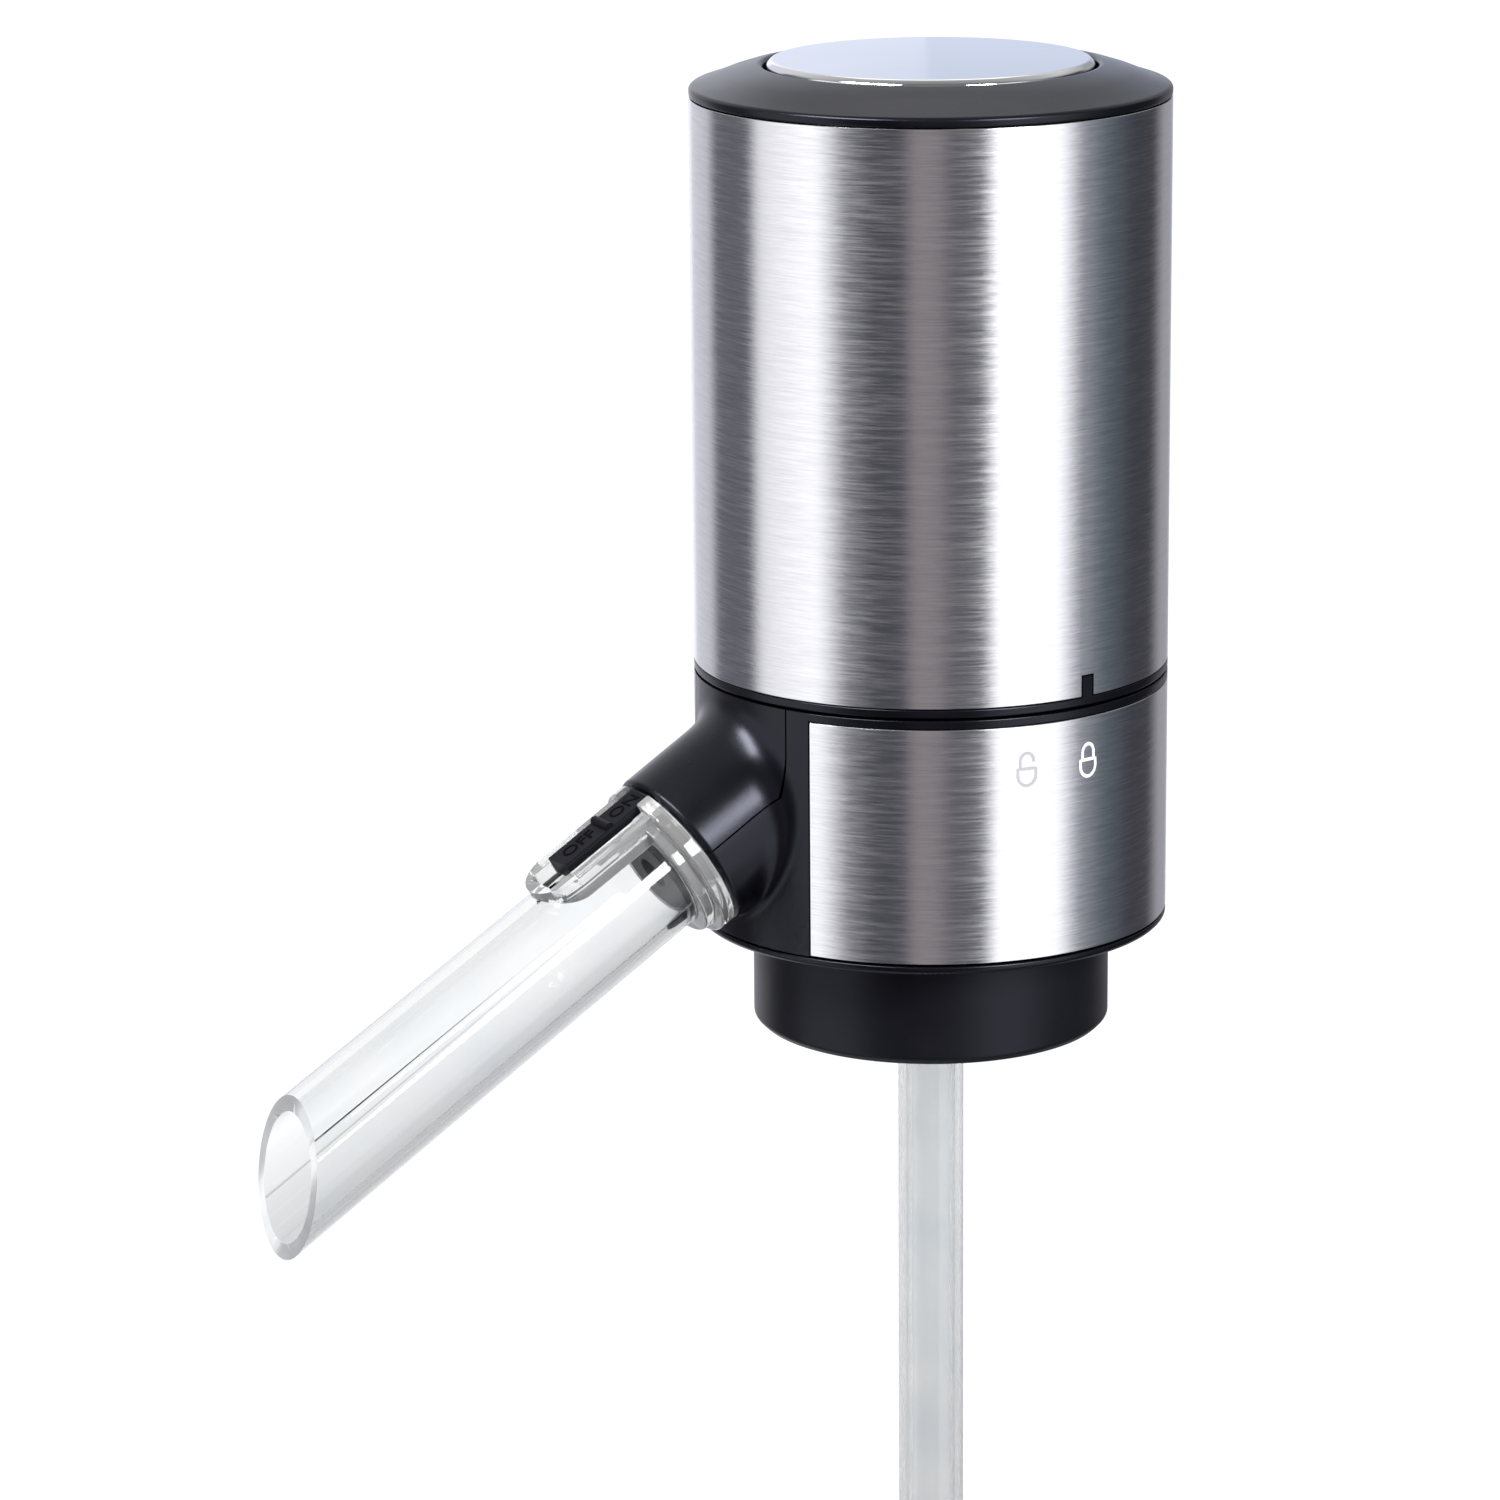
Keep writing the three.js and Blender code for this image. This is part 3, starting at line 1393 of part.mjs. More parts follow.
function addCore(group) {
  group.add(piece('battery_holder', batteryHolder(), finish(softBlack, 0.5, 0)));
  for (let number = 0; number < batteryCount; number += 1) {
    group.add(piece(`battery_${number + 1}`, battery(number), finish(batteryColour, 0.4, 0.4)));
    const [lower, upper] = [batteryContact(number, false), batteryContact(number, true)];
    group.add(piece(`contact_lower_${number + 1}`, lower, finish(steelColour, 0.3, 1)));
    group.add(piece(`contact_upper_${number + 1}`, upper, finish(steelColour, 0.3, 1)));
  }
  addScrews(
    group,
    'holder_screw',
    holderScrewAngles(),
    holderScrewCircle,
    bayBottom + seatGap + screwHeadHeight,
    screwLength,
    true,
  );
  group.add(piece('circuit_board', circuitBoard(), finish(boardColour, 0.5, 0)));
  group.add(piece('tact_switch', tactSwitch(), finish(softBlack, 0.4, 0)));
  addScrews(
    group,
    'board_screw',
    around(boardPostCount, (angle) => angle),
    boardPostCircle,
    boardTop + seatGap + screwHeadHeight,
    boardThickness + boardPostHeight + holderPlate,
    true,
  );
}

function addPump(group) {
  group.add(piece('motor_can', motorCan(), finish(steelColour, 0.35, 1)));
  group.add(piece('motor_end_bell', motorEndBell(), finish(softBlack, 0.5, 0)));
  group.add(piece('motor_lead_1', motorLead(1), finish(leadRed, 0.6, 0)));
  group.add(piece('motor_lead_2', motorLead(-1), finish(softBlack, 0.6, 0)));
  group.add(piece('pump_housing', pumpHousing(), finish(creamColour, 0.5, 0)));
  group.add(piece('pump_diaphragm', pumpDiaphragm(), finish(siliconeColour, 0.8, 0)));
  group.add(piece('pump_valve_plate', pumpValvePlate(), finish(creamColour, 0.5, 0)));
  group.add(piece('pump_head', pumpHead(), finish(creamColour, 0.5, 0)));
  addScrews(
    group,
    'pump_screw',
    pumpScrewAngles(),
    pumpScrewCircle,
    headBottom - seatGap - screwHeadHeight,
    headTop - headBottom + screwLength,
  );
}

function addDrive(group) {
  group.add(piece('motor_shaft', motorShaft(), finish(steelColour, 0.25, 1)));
  group.add(piece('eccentric_wheel', eccentricWheel(), finish(brassColour, 0.35, 1)));
  const swash = new THREE.Group();
  swash.position.z = nutationHeight;
  swash.rotation.y = nutationAngle;
  swash.add(piece('swash_plate', swashPlate(), finish(creamColour, 0.5, 0)));
  group.add(swash);
}

function addCover(group) {
  group.add(piece('steel_sleeve', steelSleeve(), finish(steelColour, 0.3, 1)));
  group.add(piece('cover_liner', coverLiner(), finish(blackPlastic, 0.42, 0)));
  group.add(piece('top_bezel', topBezel(), finish(blackPlastic, 0.38, 0)));
  addScrews(
    group,
    'bezel_screw',
    bezelScrewAngles(),
    bezelScrewCircle,
    deckBottom - seatGap - screwHeadHeight,
    deckThickness + bezelScrewDepth,
  );
}

function addButton(group) {
  group.add(piece('button_cap', buttonCap(), finish(chromeColour, 0.08, 1)));
  group.add(piece('button_plunger', buttonPlunger(), finish(softBlack, 0.5, 0)));
  group.add(piece('button_spring', buttonSpring(), finish(steelColour, 0.3, 1)));
}

function addSpout(group) {
  const spout = new THREE.Group();
  spout.applyMatrix4(spoutFrame);
  spout.add(piece('spout_tube', spoutTube(), finish(clearColour, 0.05, 0, 0.35)));
  spout.add(piece('spout_o_ring', spoutRing(), finish(siliconeColour, 0.7, 0)));
  spout.add(piece('aerator_insert', aeratorInsert(), finish(softBlack, 0.4, 0)));
  spout.add(piece('air_slider', aerationSlider(), finish(softBlack, 0.45, 0)));
  group.add(spout);
}

const aerator = new THREE.Group();
addBase(aerator);
addWinePassage(aerator);
addAirPassage(aerator);
addCore(aerator);
addPump(aerator);
addDrive(aerator);
addCover(aerator);
addButton(aerator);
addSpout(aerator);
export default aerator;
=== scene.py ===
import json
import math

import bmesh
import bpy
from mathutils import Matrix, Vector


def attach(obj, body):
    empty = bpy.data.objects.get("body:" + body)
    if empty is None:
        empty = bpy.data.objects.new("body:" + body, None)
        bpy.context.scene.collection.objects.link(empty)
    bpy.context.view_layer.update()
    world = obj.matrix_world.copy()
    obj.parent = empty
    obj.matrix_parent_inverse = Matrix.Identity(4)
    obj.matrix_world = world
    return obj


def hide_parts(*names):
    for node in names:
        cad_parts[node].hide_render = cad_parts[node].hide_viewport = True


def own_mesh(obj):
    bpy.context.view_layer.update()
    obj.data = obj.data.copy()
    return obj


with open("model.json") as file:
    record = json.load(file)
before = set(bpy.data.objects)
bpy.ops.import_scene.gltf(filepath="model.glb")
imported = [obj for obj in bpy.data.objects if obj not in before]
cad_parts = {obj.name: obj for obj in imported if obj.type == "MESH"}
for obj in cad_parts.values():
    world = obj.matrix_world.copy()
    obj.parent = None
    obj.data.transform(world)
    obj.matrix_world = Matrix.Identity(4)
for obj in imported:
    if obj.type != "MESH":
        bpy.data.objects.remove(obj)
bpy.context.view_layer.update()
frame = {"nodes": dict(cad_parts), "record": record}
print("frame loaded:", len(frame["nodes"]), "nodes")

mm = 0.001


# a wrapped socket for maths, and one builder for every other node
class Signal:
    def __init__(self, look, socket):
        self.look = look
        self.socket = socket

    def __add__(self, other):
        return self.look.maths("ADD", self, other)

    def __radd__(self, other):
        return self.look.maths("ADD", other, self)

    def __sub__(self, other):
        return self.look.maths("SUBTRACT", self, other)

    def __rsub__(self, other):
        return self.look.maths("SUBTRACT", other, self)

    def __mul__(self, other):
        return self.look.maths("MULTIPLY", self, other)

    def __rmul__(self, other):
        return self.look.maths("MULTIPLY", other, self)

    def __truediv__(self, other):
        return self.look.maths("DIVIDE", self, other)

    def __rtruediv__(self, other):
        return self.look.maths("DIVIDE", other, self)


class Look:
    def __init__(self, tree):
        self.tree = tree
        tree.nodes.clear()

    def node(self, kind, settings, inputs, output=0):
        made = self.tree.nodes.new(kind)
        for name, value in settings.items():
            if name == "stops":
                self.setStops(made.color_ramp, value)
            else:
                setattr(made, name, value)
        for name, value in inputs.items():
            socket = made.inputs[name]
            if isinstance(value, Signal):
                self.tree.links.new(value.socket, socket)
            else:
                socket.default_value = value
        return Signal(self, made.outputs[output]) if made.outputs else made

    def setStops(self, ramp, stops):
        while len(ramp.elements) < len(stops):
            ramp.elements.new(0.5)
        for element, (place, colour) in zip(ramp.elements, stops):
            element.position = place
            element.color = (*colour, 1.0)

    def maths(self, operation, first, second):
        return self.node("ShaderNodeMath", {"operation": operation}, {0: first, 1: second})

    def noise(self, stretch, detail, rough=0.55):
        spot = self.node("ShaderNodeTexCoord", {}, {}, "Object")
        scale = stretch if isinstance(stretch, tuple) else (stretch,) * 3
        placed = self.node("ShaderNodeMapping", {}, {"Vector": spot, "Scale": scale})
        inputs = {"Vector": placed, "Scale": 1.0, "Detail": detail, "Roughness": rough}
        return self.node("ShaderNodeTexNoise", {"noise_dimensions": "3D"}, inputs, "Fac")

    def spread(self, value, low, high, fromLow=0.3, fromHigh=0.7):
        inputs = {"Value": value, 1: fromLow, 2: fromHigh, 3: low, 4: high}
        return self.node("ShaderNodeMapRange", {"clamp": True}, inputs)

    def tint(self, factor, first, second):
        inputs = {0: factor, 6: (*first, 1.0), 7: (*second, 1.0)}
        return self.node("ShaderNodeMix", {"data_type": "RGBA"}, inputs, 2)

    def bump(self, height, distance, strength):
        inputs = {"Height": height, "Distance": distance, "Strength": strength}
        return self.node("ShaderNodeBump", {}, inputs)


def newLook(name):
    material = bpy.data.materials.new(name)
    material.use_nodes = True
    return material, Look(material.node_tree)


def principled(look, **sockets):
    named = {key.replace("_", " "): value for key, value in sockets.items()}
    surface = look.node("ShaderNodeBsdfPrincipled", {}, named)
    look.node("ShaderNodeOutputMaterial", {}, {"Surface": surface})


# every noise is (scale, detail, roughness), the last one only where it isn't the usual one
plasticValues = {
    "body": {"dark": (0.0014, 0.0014, 0.0026), "pale": (0.003, 0.003, 0.0046), "rough": 0.25, "shine": 0.29},
    "collar": {
        "dark": (0.0045, 0.0045, 0.0068), "pale": (0.0075, 0.0075, 0.0105), "rough": 0.36, "shine": 0.22,
    },
    "slider": {"dark": (0.004, 0.004, 0.006), "pale": (0.007, 0.007, 0.009), "rough": 0.4, "shine": 0.06},
    # letters: darker and duller than the slider, painted shade standing in for the shade in their engraved
    # strokes
    "letters": {"dark": (0.001, 0.001, 0.0014), "pale": (0.002, 0.002, 0.0026), "rough": 0.5, "shine": 0.02},
    "inner": {"dark": (0.007, 0.007, 0.008), "pale": (0.012, 0.012, 0.013), "rough": 0.45, "shine": 0.3},
}
plasticGrain = {
    "grain": (2600, 3.0),
    "cloud": (60, 4.0),
    "depth": 0.00002,
    "strength": 0.35,
    "smoother": 0.04,
    "rougher": 0.05,
    "tint": (0.8, 0.82, 1.0, 1.0),
}


def mouldedPlastic(name, kind):
    values = plasticValues[kind]
    material, look = newLook(name)
    grain = look.noise(*plasticGrain["grain"])
    cloud = look.noise(*plasticGrain["cloud"])
    smoothest, roughest = values["rough"] - plasticGrain["smoother"], values["rough"] + plasticGrain["rougher"]
    principled(
        look,
        Base_Color=look.tint(look.spread(cloud, 0.0, 1.0), values["dark"], values["pale"]),
        Roughness=look.spread(cloud, smoothest, roughest),
        Normal=look.bump(grain, plasticGrain["depth"], plasticGrain["strength"]),
        Specular_IOR_Level=values["shine"],
        Specular_Tint=plasticGrain["tint"],
    )
    return material


steelValues = {
    "fine": ((230, 230, 5000), 3.0, 0.6),
    "broad": ((100, 100, 2000), 3.0, 0.5),
    "scratch": ((620, 620, 4300), 2.0, 0.5),
    "fineShare": 0.7,
    "broadShare": 0.3,
    "contrast": (0.38, 0.62),
    "dark": (0.575, 0.575, 0.59),
    "pale": (0.68, 0.68, 0.69),
    "rough": (0.17, 0.27),
    "depth": 0.00001,
    "anisotropy": 0.7,
    "turn": 0.25,
}


def brushedSteel(name):
    material, look = newLook(name)
    fine = look.noise(*steelValues["fine"])
    broad = look.noise(*steelValues["broad"])
    streak = fine * steelValues["fineShare"] + broad * steelValues["broadShare"]
    shade = look.spread(streak, 0.0, 1.0, *steelValues["contrast"])
    scratch = look.noise(*steelValues["scratch"])
    principled(
        look,
        Base_Color=look.tint(shade, steelValues["dark"], steelValues["pale"]),
        Metallic=1.0,
        Roughness=look.spread(streak, *steelValues["rough"], *steelValues["contrast"]),
        Normal=look.bump(scratch, steelValues["depth"], 1.0),
        Anisotropic=steelValues["anisotropy"],
        Anisotropic_Rotation=steelValues["turn"],
    )
    return material


chromeValues = {
    "haze": (35, 3.0),
    "dark": (0.74, 0.745, 0.76),
    "pale": (0.8, 0.8, 0.81),
    "rough": (0.04, 0.08),
}


def polishedChrome(name):
    material, look = newLook(name)
    haze = look.noise(*chromeValues["haze"])
    principled(
        look,
        Base_Color=look.tint(look.spread(haze, 0.0, 1.0), chromeValues["dark"], chromeValues["pale"]),
        Metallic=1.0,
        Roughness=look.spread(haze, *chromeValues["rough"]),
    )
    return material


clearValues = {
    "spout": {"tint": (0.95, 0.97, 0.98), "rough": 0.015, "milk": 0.0},
    "thick": {"tint": (0.98, 0.985, 0.99), "rough": 0.02, "milk": 0.15},
    "rim": {"tint": (0.6, 0.62, 0.65), "rough": 0.3, "milk": 0.42},
    "tube": {"tint": (0.93, 0.95, 0.96), "rough": 0.08, "milk": 0.06},
}
clearHaze = {"noise": (90, 3.0), "rougher": 0.03, "ior": 1.47}


def clearPlastic(name, kind):
    values = clearValues[kind]
    material, look = newLook(name)
    haze = look.noise(*clearHaze["noise"])
    principled(
        look,
        Base_Color=look.tint(look.spread(haze, 0.0, 1.0), values["tint"], (1.0, 1.0, 1.0)),
        Roughness=look.spread(haze, values["rough"], values["rough"] + clearHaze["rougher"]),
        IOR=clearHaze["ior"],
        Transmission_Weight=1.0 - values["milk"],
    )
    return material


plainValues = {
    "rubber": {"grain": (1500, 3.0), "paler": 1.3, "rougher": 0.15, "metallic": 0.0, "depth": 0.00003},
    "metal": {"grain": (400, 4.0), "paler": 1.15, "rougher": 0.12, "metallic": 1.0, "depth": 0.0},
    "paint": {"grain": (300, 4.0), "paler": 1.2, "rougher": 0.1, "metallic": 0.0, "depth": 0.0},
}
rubberStrength = 0.3


def plainFinish(name, kind, colour, roughness):
    values = plainValues[kind]
    material, look = newLook(name)
    grain = look.noise(*values["grain"])
    paler = tuple(min(channel * values["paler"], 1.0) for channel in colour)
    sockets = {
        "Base_Color": look.tint(grain, colour, paler),
        "Metallic": values["metallic"],
        "Roughness": look.spread(grain, roughness, roughness + values["rougher"]),
    }
    if values["depth"]:
        sockets["Normal"] = look.bump(grain, values["depth"], rubberStrength)
    principled(look, **sockets)
    return material


finishes = {
    "black_plastic": mouldedPlastic("satin black body", "body"),
    "collar_plastic": mouldedPlastic("black collar", "collar"),
    "slider_plastic": mouldedPlastic("black slider", "slider"),
    "inner_plastic": mouldedPlastic("black inner mouldings", "inner"),
    "silicone": plainFinish("dark silicone", "rubber", (0.02, 0.02, 0.022), 0.55),
    "hose_silicone": plainFinish("pale silicone", "rubber", (0.6, 0.57, 0.5), 0.55),
    "brushed_steel": brushedSteel("brushed steel"),
    "button_chrome": polishedChrome("button chrome"),
    "clear_plastic": clearPlastic("clear spout plastic", "spout"),
    "tube_plastic": clearPlastic("dip tube plastic", "tube"),
    "pump_plastic": plainFinish("cream pump plastic", "paint", (0.6, 0.56, 0.47), 0.45),
    "plain_steel": plainFinish("plated steel", "metal", (0.52, 0.52, 0.54), 0.28),
    "motor_steel": plainFinish("motor can steel", "metal", (0.45, 0.46, 0.47), 0.32),
    "wheel_brass": plainFinish("turned brass", "metal", (0.6, 0.45, 0.2), 0.3),
    "battery_wrap": plainFinish("cell wrap", "paint", (0.05, 0.09, 0.14), 0.35),
    "board_green": plainFinish("solder resist", "paint", (0.015, 0.13, 0.045), 0.35),
    "lead_red": plainFinish("red insulation", "paint", (0.35, 0.02, 0.02), 0.5),
    "lead_black": plainFinish("black insulation", "paint", (0.01, 0.01, 0.01), 0.5),
}
cutEdge = clearPlastic("frosted spout rim", "rim")
thickPlastic = clearPlastic("thick clear plastic", "thick")
printWhite = plainFinish("white print", "paint", (0.9, 0.9, 0.92), 0.5)
printPale = plainFinish("grey print", "paint", (0.42, 0.42, 0.45), 0.5)
# the letters' darker, duller colour is painted shade for their engraved strokes
lettersPaintedShade = mouldedPlastic("painted shade letters", "letters")

for entry in frame["record"]["subparts"]:
    mesh = frame["nodes"][entry["node"]].data
    mesh.materials.clear()
    mesh.materials.append(finishes[entry["material_slot"]])
print("finishes:", len(finishes))


# mesh helpers, in millimetres and degrees until the object is made; a shape is (points, faces)
meshValues = {
    "weld": 0.002,  # points closer than this become one
    "seamWeld": 0.004,
    "cut": 0.0005,
    "smoothAngle": 38,
    "bevelAngle": 42,
    "bevelSegments": 2,
    "onAxis": 0.001,
    "normalWeight": 100,
}
softening = {
    "mostOfSide": 0.45,  # an arc takes no more of a side than this share
    "flatCorner": 165,  # flatter corners stay as they are
    "supportFrom": 3,  # sides longer than this many arcs get a support point
    "supportPlace": 0.4,
}


def meshFrom(name, shape):
    mesh = bpy.data.meshes.new(name)
    mesh.from_pydata([Vector(point) * mm for point in shape[0]], [], shape[1])
    welded = bmesh.new()
    welded.from_mesh(mesh)
    bmesh.ops.remove_doubles(welded, verts=welded.verts, dist=meshValues["weld"] * mm)
    bmesh.ops.recalc_face_normals(welded, faces=welded.faces)
    welded.to_mesh(mesh)
    welded.free()
    return mesh


def smoothFaces(mesh):
    mesh.polygons.foreach_set("use_smooth", [True] * len(mesh.polygons))


# one visible piece, from a shape or from a mesh that is ready
def makePiece(name, form, body, slot, replaced=(), material=None, smoothAngle=meshValues["smoothAngle"]):
    mesh = meshFrom(name, form) if isinstance(form, tuple) else form
    mesh.name = name
    piece = bpy.data.objects.new(name, mesh)
    bpy.context.scene.collection.objects.link(piece)
    mesh.materials.clear()
    mesh.materials.append(material or finishes[slot])
    if smoothAngle:
        smoothFaces(mesh)
        mesh.set_sharp_from_angle(angle=math.radians(smoothAngle))
    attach(piece, body)
    if replaced:
        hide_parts(*replaced)
    return piece


# arcs at an outline's corners, each with a point beside it that keeps its shading off long sides
def soften(outline, radius, steps=3, closed=True):
    rounded = []
    count = len(outline)
    for i, corner in enumerate(outline):
        here, before, after = Vector(corner), Vector(outline[i - 1]), Vector(outline[(i + 1) % count])
        inwards, outwards = before - here, after - here
        most = softening["mostOfSide"]
        reach = min(radius, inwards.length * most, outwards.length * most)
        inwards.normalize()
        outwards.normalize()
        openEnd = not closed and i in (0, count - 1)
        flat = math.radians(softening["flatCorner"])
        if openEnd or here.x < meshValues["onAxis"] or inwards.angle(outwards) > flat:
            rounded.append(corner)
            continue
        start, end = here + inwards * reach, here + outwards * reach
        longSide, support = reach * softening["supportFrom"], reach * softening["supportPlace"]
        if (before - here).length > longSide:
            rounded.append(tuple(start + inwards * support))
        for step in range(steps + 1):
            share = step / steps
            rounded.append(tuple(start.lerp(here, share).lerp(here.lerp(end, share), share)))
        if (after - here).length > longSide:
            rounded.append(tuple(end + outwards * support))
    return rounded


# a turned shape from [radius, height] points; "span" makes it a capped part turn
def turned(outline, sides, span=None):
    points, faces = [], []
    count = len(outline)
    turns = sides + 1 if span else sides
    start, sweep = (span[0], span[1] - span[0]) if span else (0.0, 2 * math.pi)
    for step in range(turns):
        angle = start + sweep * step / sides
        points += [(r * math.cos(angle), r * math.sin(angle), z) for r, z in outline]
    openAxis = outline[0][0] < meshValues["onAxis"] and outline[-1][0] < meshValues["onAxis"]
    for step in range(sides):
        a, b = step * count, ((step + 1) % turns) * count
        for i in range(count - 1 if openAxis else count):
            j = (i + 1) % count
            faces.append((a + i, b + i, b + j, a + j))
    if span:
        faces.append(tuple(range(count)))
        faces.append(tuple(range((turns - 1) * count, turns * count)))
    return points, faces


# a softened, turned shape from the values of one piece
def turnedFrom(values, span=None):
    outline = soften(values["outline"], values["edge"], values.get("steps", 3), values.get("closed", True))
    return turned(outline, values["sides"], span)


def ringOutline(inner, outer, low, high):
    return [(inner, low), (outer, low), (outer, high), (inner, high)]


def arcPoints(middle, radii, start, end, steps):
    turns = [start + (end - start) * step / steps for step in range(steps + 1)]
    return [(middle[0] + radii[0] * math.cos(turn), middle[1] + radii[1] * math.sin(turn)) for turn in turns]


# three part rings, evenly round the axis
def arcBlocks(values):
    blocks = []
    for number in range(3):
        middle = number * 2 * math.pi / 3
        span = (middle - math.radians(values["before"]), middle + math.radians(values["after"]))
        blocks.append(turned(ringOutline(*values["radii"], *values["heights"]), values["sides"], span))
    return blocks


def shifted(shape, matrix):
    return [matrix @ Vector(point) for point in shape[0]], shape[1]


def both(*shapes):
    points, faces = [], []
    for morePoints, moreFaces in shapes:
        base = len(points)
        points += list(morePoints)
        faces += [tuple(index + base for index in face) for face in moreFaces]
    return points, faces


def boxShape(xs, ys, zs):
    points = [(x, y, z) for x in xs for y in ys for z in zs]
    faces = [(0, 1, 3, 2), (4, 6, 7, 5), (0, 4, 5, 1), (2, 3, 7, 6), (0, 2, 6, 4), (1, 5, 7, 3)]
    return points, faces


def prismShape(outline, bottom, top):
    count = len(outline)
    points = [(x, y, bottom) for x, y in outline] + [(x, y, top) for x, y in outline]
    faces = [tuple(range(count)), tuple(range(count, 2 * count))]
    for i in range(count):
        j = (i + 1) % count
        faces.append((i, j, j + count, i + count))
    return points, faces


# boolean work on closed shapes: each tool is (operation, shape)
def carved(shape, tools, bevel=0.0):
    work = []

    def solid(label, solidShape):
        made = bpy.data.objects.new(label, meshFrom(label, solidShape))
        smoothFaces(made.data)
        bpy.context.scene.collection.objects.link(made)
        work.append(made)
        return made

    blank = solid("blank", shape)
    for operation, tool in tools:
        modifier = blank.modifiers.new("tool", "BOOLEAN")
        modifier.operation = operation
        modifier.solver = "MANIFOLD"
        modifier.object = solid("tool", tool)
    if bevel:
        modifier = blank.modifiers.new("edge", "BEVEL")
        modifier.width = bevel * mm
        modifier.segments = meshValues["bevelSegments"]
        modifier.limit_method = "ANGLE"
        modifier.angle_limit = math.radians(meshValues["bevelAngle"])
        modifier = blank.modifiers.new("shade", "WEIGHTED_NORMAL")
        modifier.weight = meshValues["normalWeight"]
    graph = bpy.context.evaluated_depsgraph_get()
    result = bpy.data.meshes.new_from_object(blank.evaluated_get(graph))
    for made in work:
        bpy.data.objects.remove(made)
    return result


# sizes shared by several pieces
shell = {
    "radius": 28.5, "steel": 0.5, "skinEdge": 0.12, "skinSmooth": 30,
    "frontBottom": 14.56, "panelBottom": 14.66, "panelTop": 42.96, "baseTop": 44.06,
    "sleeveBottom": 45.46, "sleeveTop": 113.01,
}
spoutAxis = {"azimuth": math.radians(-148.4), "fall": math.radians(31.1), "crossing": 46.8203}
azimuth, fall = spoutAxis["azimuth"], spoutAxis["fall"]
spoutOut = Vector((math.cos(azimuth) * math.cos(fall), math.sin(azimuth) * math.cos(fall), -math.sin(fall)))
spoutUp = Vector((math.cos(azimuth) * math.sin(fall), math.sin(azimuth) * math.sin(fall), math.cos(fall)))
spoutAcross = spoutUp.cross(spoutOut)
spoutFrame = Matrix.Translation((0, 0, spoutAxis["crossing"])) @ Matrix(
    (spoutAcross, spoutUp, spoutOut)
).transposed().to_4x4()


# brushed sleeve and base panel
sleeveValues = {
    "tickAngle": math.radians(-50.05),
    "notchWidth": 1.9, "notchTop": 48.06, "notchReach": 1,
    "sides": 192,
}


def skinOutline(low, high):
    return soften(ringOutline(shell["radius"] - shell["steel"], shell["radius"], low, high), shell["skinEdge"])


def makeSleeve():
    low, high, reach = shell["sleeveBottom"], shell["sleeveTop"], sleeveValues["notchReach"]
    half = sleeveValues["notchWidth"] / 2
    depths = (shell["radius"] - shell["steel"] - reach, shell["radius"] + reach)
    notch = boxShape(depths, (-half, half), (low - reach, sleeveValues["notchTop"]))
    turn = Matrix.Rotation(sleeveValues["tickAngle"], 4, "Z")
    mesh = carved(turned(skinOutline(low, high), sleeveValues["sides"]), [("DIFFERENCE", shifted(notch, turn))])
    makePiece("brushed_sleeve", mesh, "cover", "brushed_steel", ["steel_sleeve"], None, shell["skinSmooth"])


panelValues = {"halfFront": math.asin(13.47 / shell["radius"]), "seam": 0.22, "sides": 168}


def makePanel():
    turnBack = panelValues["halfFront"] + panelValues["seam"] / shell["radius"]
    span = (azimuth + turnBack, azimuth - turnBack + 2 * math.pi)
    shape = turned(skinOutline(shell["panelBottom"], shell["panelTop"]), panelValues["sides"], span)
    makePiece("brushed_panel", shape, "base", "brushed_steel", ["base_panel"], None, shell["skinSmooth"])


makeSleeve()
makePanel()
print("steel skins")


# cover: liner band with its tick, bezel, button
coverValues = {
    "outline": [
        (26.4, 44.36), (28.5, 44.36), (28.5, 45.36), (27.7, 45.36),
        (27.7, 111.6), (3.3, 111.6), (3.3, 110.0), (26.4, 110.0),
    ],
    "edge": 0.2,
    "sides": 160,
    "tickWidth": 1.5,
    "tickRadii": (27.1, 28.48),
    "tickHeights": (44.86, 47.86),
    "lugs": {"radii": (25.5, 26.5), "heights": (45.9, 47.6), "before": 8, "after": 8, "sides": 8},
}


def makeCoverLiner():
    half = coverValues["tickWidth"] / 2
    tick = boxShape(coverValues["tickRadii"], (-half, half), coverValues["tickHeights"])
    turn = Matrix.Rotation(sleeveValues["tickAngle"], 4, "Z")
    shape = both(turnedFrom(coverValues), shifted(tick, turn), *arcBlocks(coverValues["lugs"]))
    makePiece("cover_band", shape, "cover", "black_plastic", ["cover_liner"])


bezelValues = {
    "outline": [
        (21.3, 111.7), (27.7, 111.7), (27.7, 113.11), (28.5, 113.11), (28.5, 114.01), (28.2, 114.31),
        (26.3, 114.93), (24.3, 115.72), (22.3, 116.34), (20.25, 116.81), (19.75, 116.51), (19.75, 114.31),
        (21.3, 114.31),
    ],
    "edge": 0.45,
    "steps": 4,
    "sides": 192,
}
buttonValues = {
    "radius": 19.35,
    "edgeTop": 117.31,
    "dome": 0.6,
    "domeSteps": 12,
    "bevel": 0.6,
    "skirt": [
        (19.35, 114.01), (20.85, 114.01), (20.85, 113.01), (18.05, 113.01), (18.05, 116.01), (0, 116.01),
    ],
    "edge": 0.25,
    "sides": 192,
    "smoothAngle": 50,
}


def makeButton():
    radius, edgeTop, bevel = buttonValues["radius"], buttonValues["edgeTop"], buttonValues["bevel"]
    steps = buttonValues["domeSteps"]
    outline = []
    for step in range(steps + 1):
        share = step / steps
        outline.append(((radius - bevel) * share, edgeTop + buttonValues["dome"] * (1 - share**2)))
    outline += [(radius, edgeTop - bevel), *buttonValues["skirt"]]
    shape = turnedFrom({**buttonValues, "outline": outline, "closed": False})
    angle = buttonValues["smoothAngle"]
    makePiece("button_dome", shape, "button", "button_chrome", ["button_cap"], None, angle)


makeCoverLiner()
makePiece("bezel", turnedFrom(bezelValues), "cover", "black_plastic", ["top_bezel"])
makeButton()
print("cover and button")


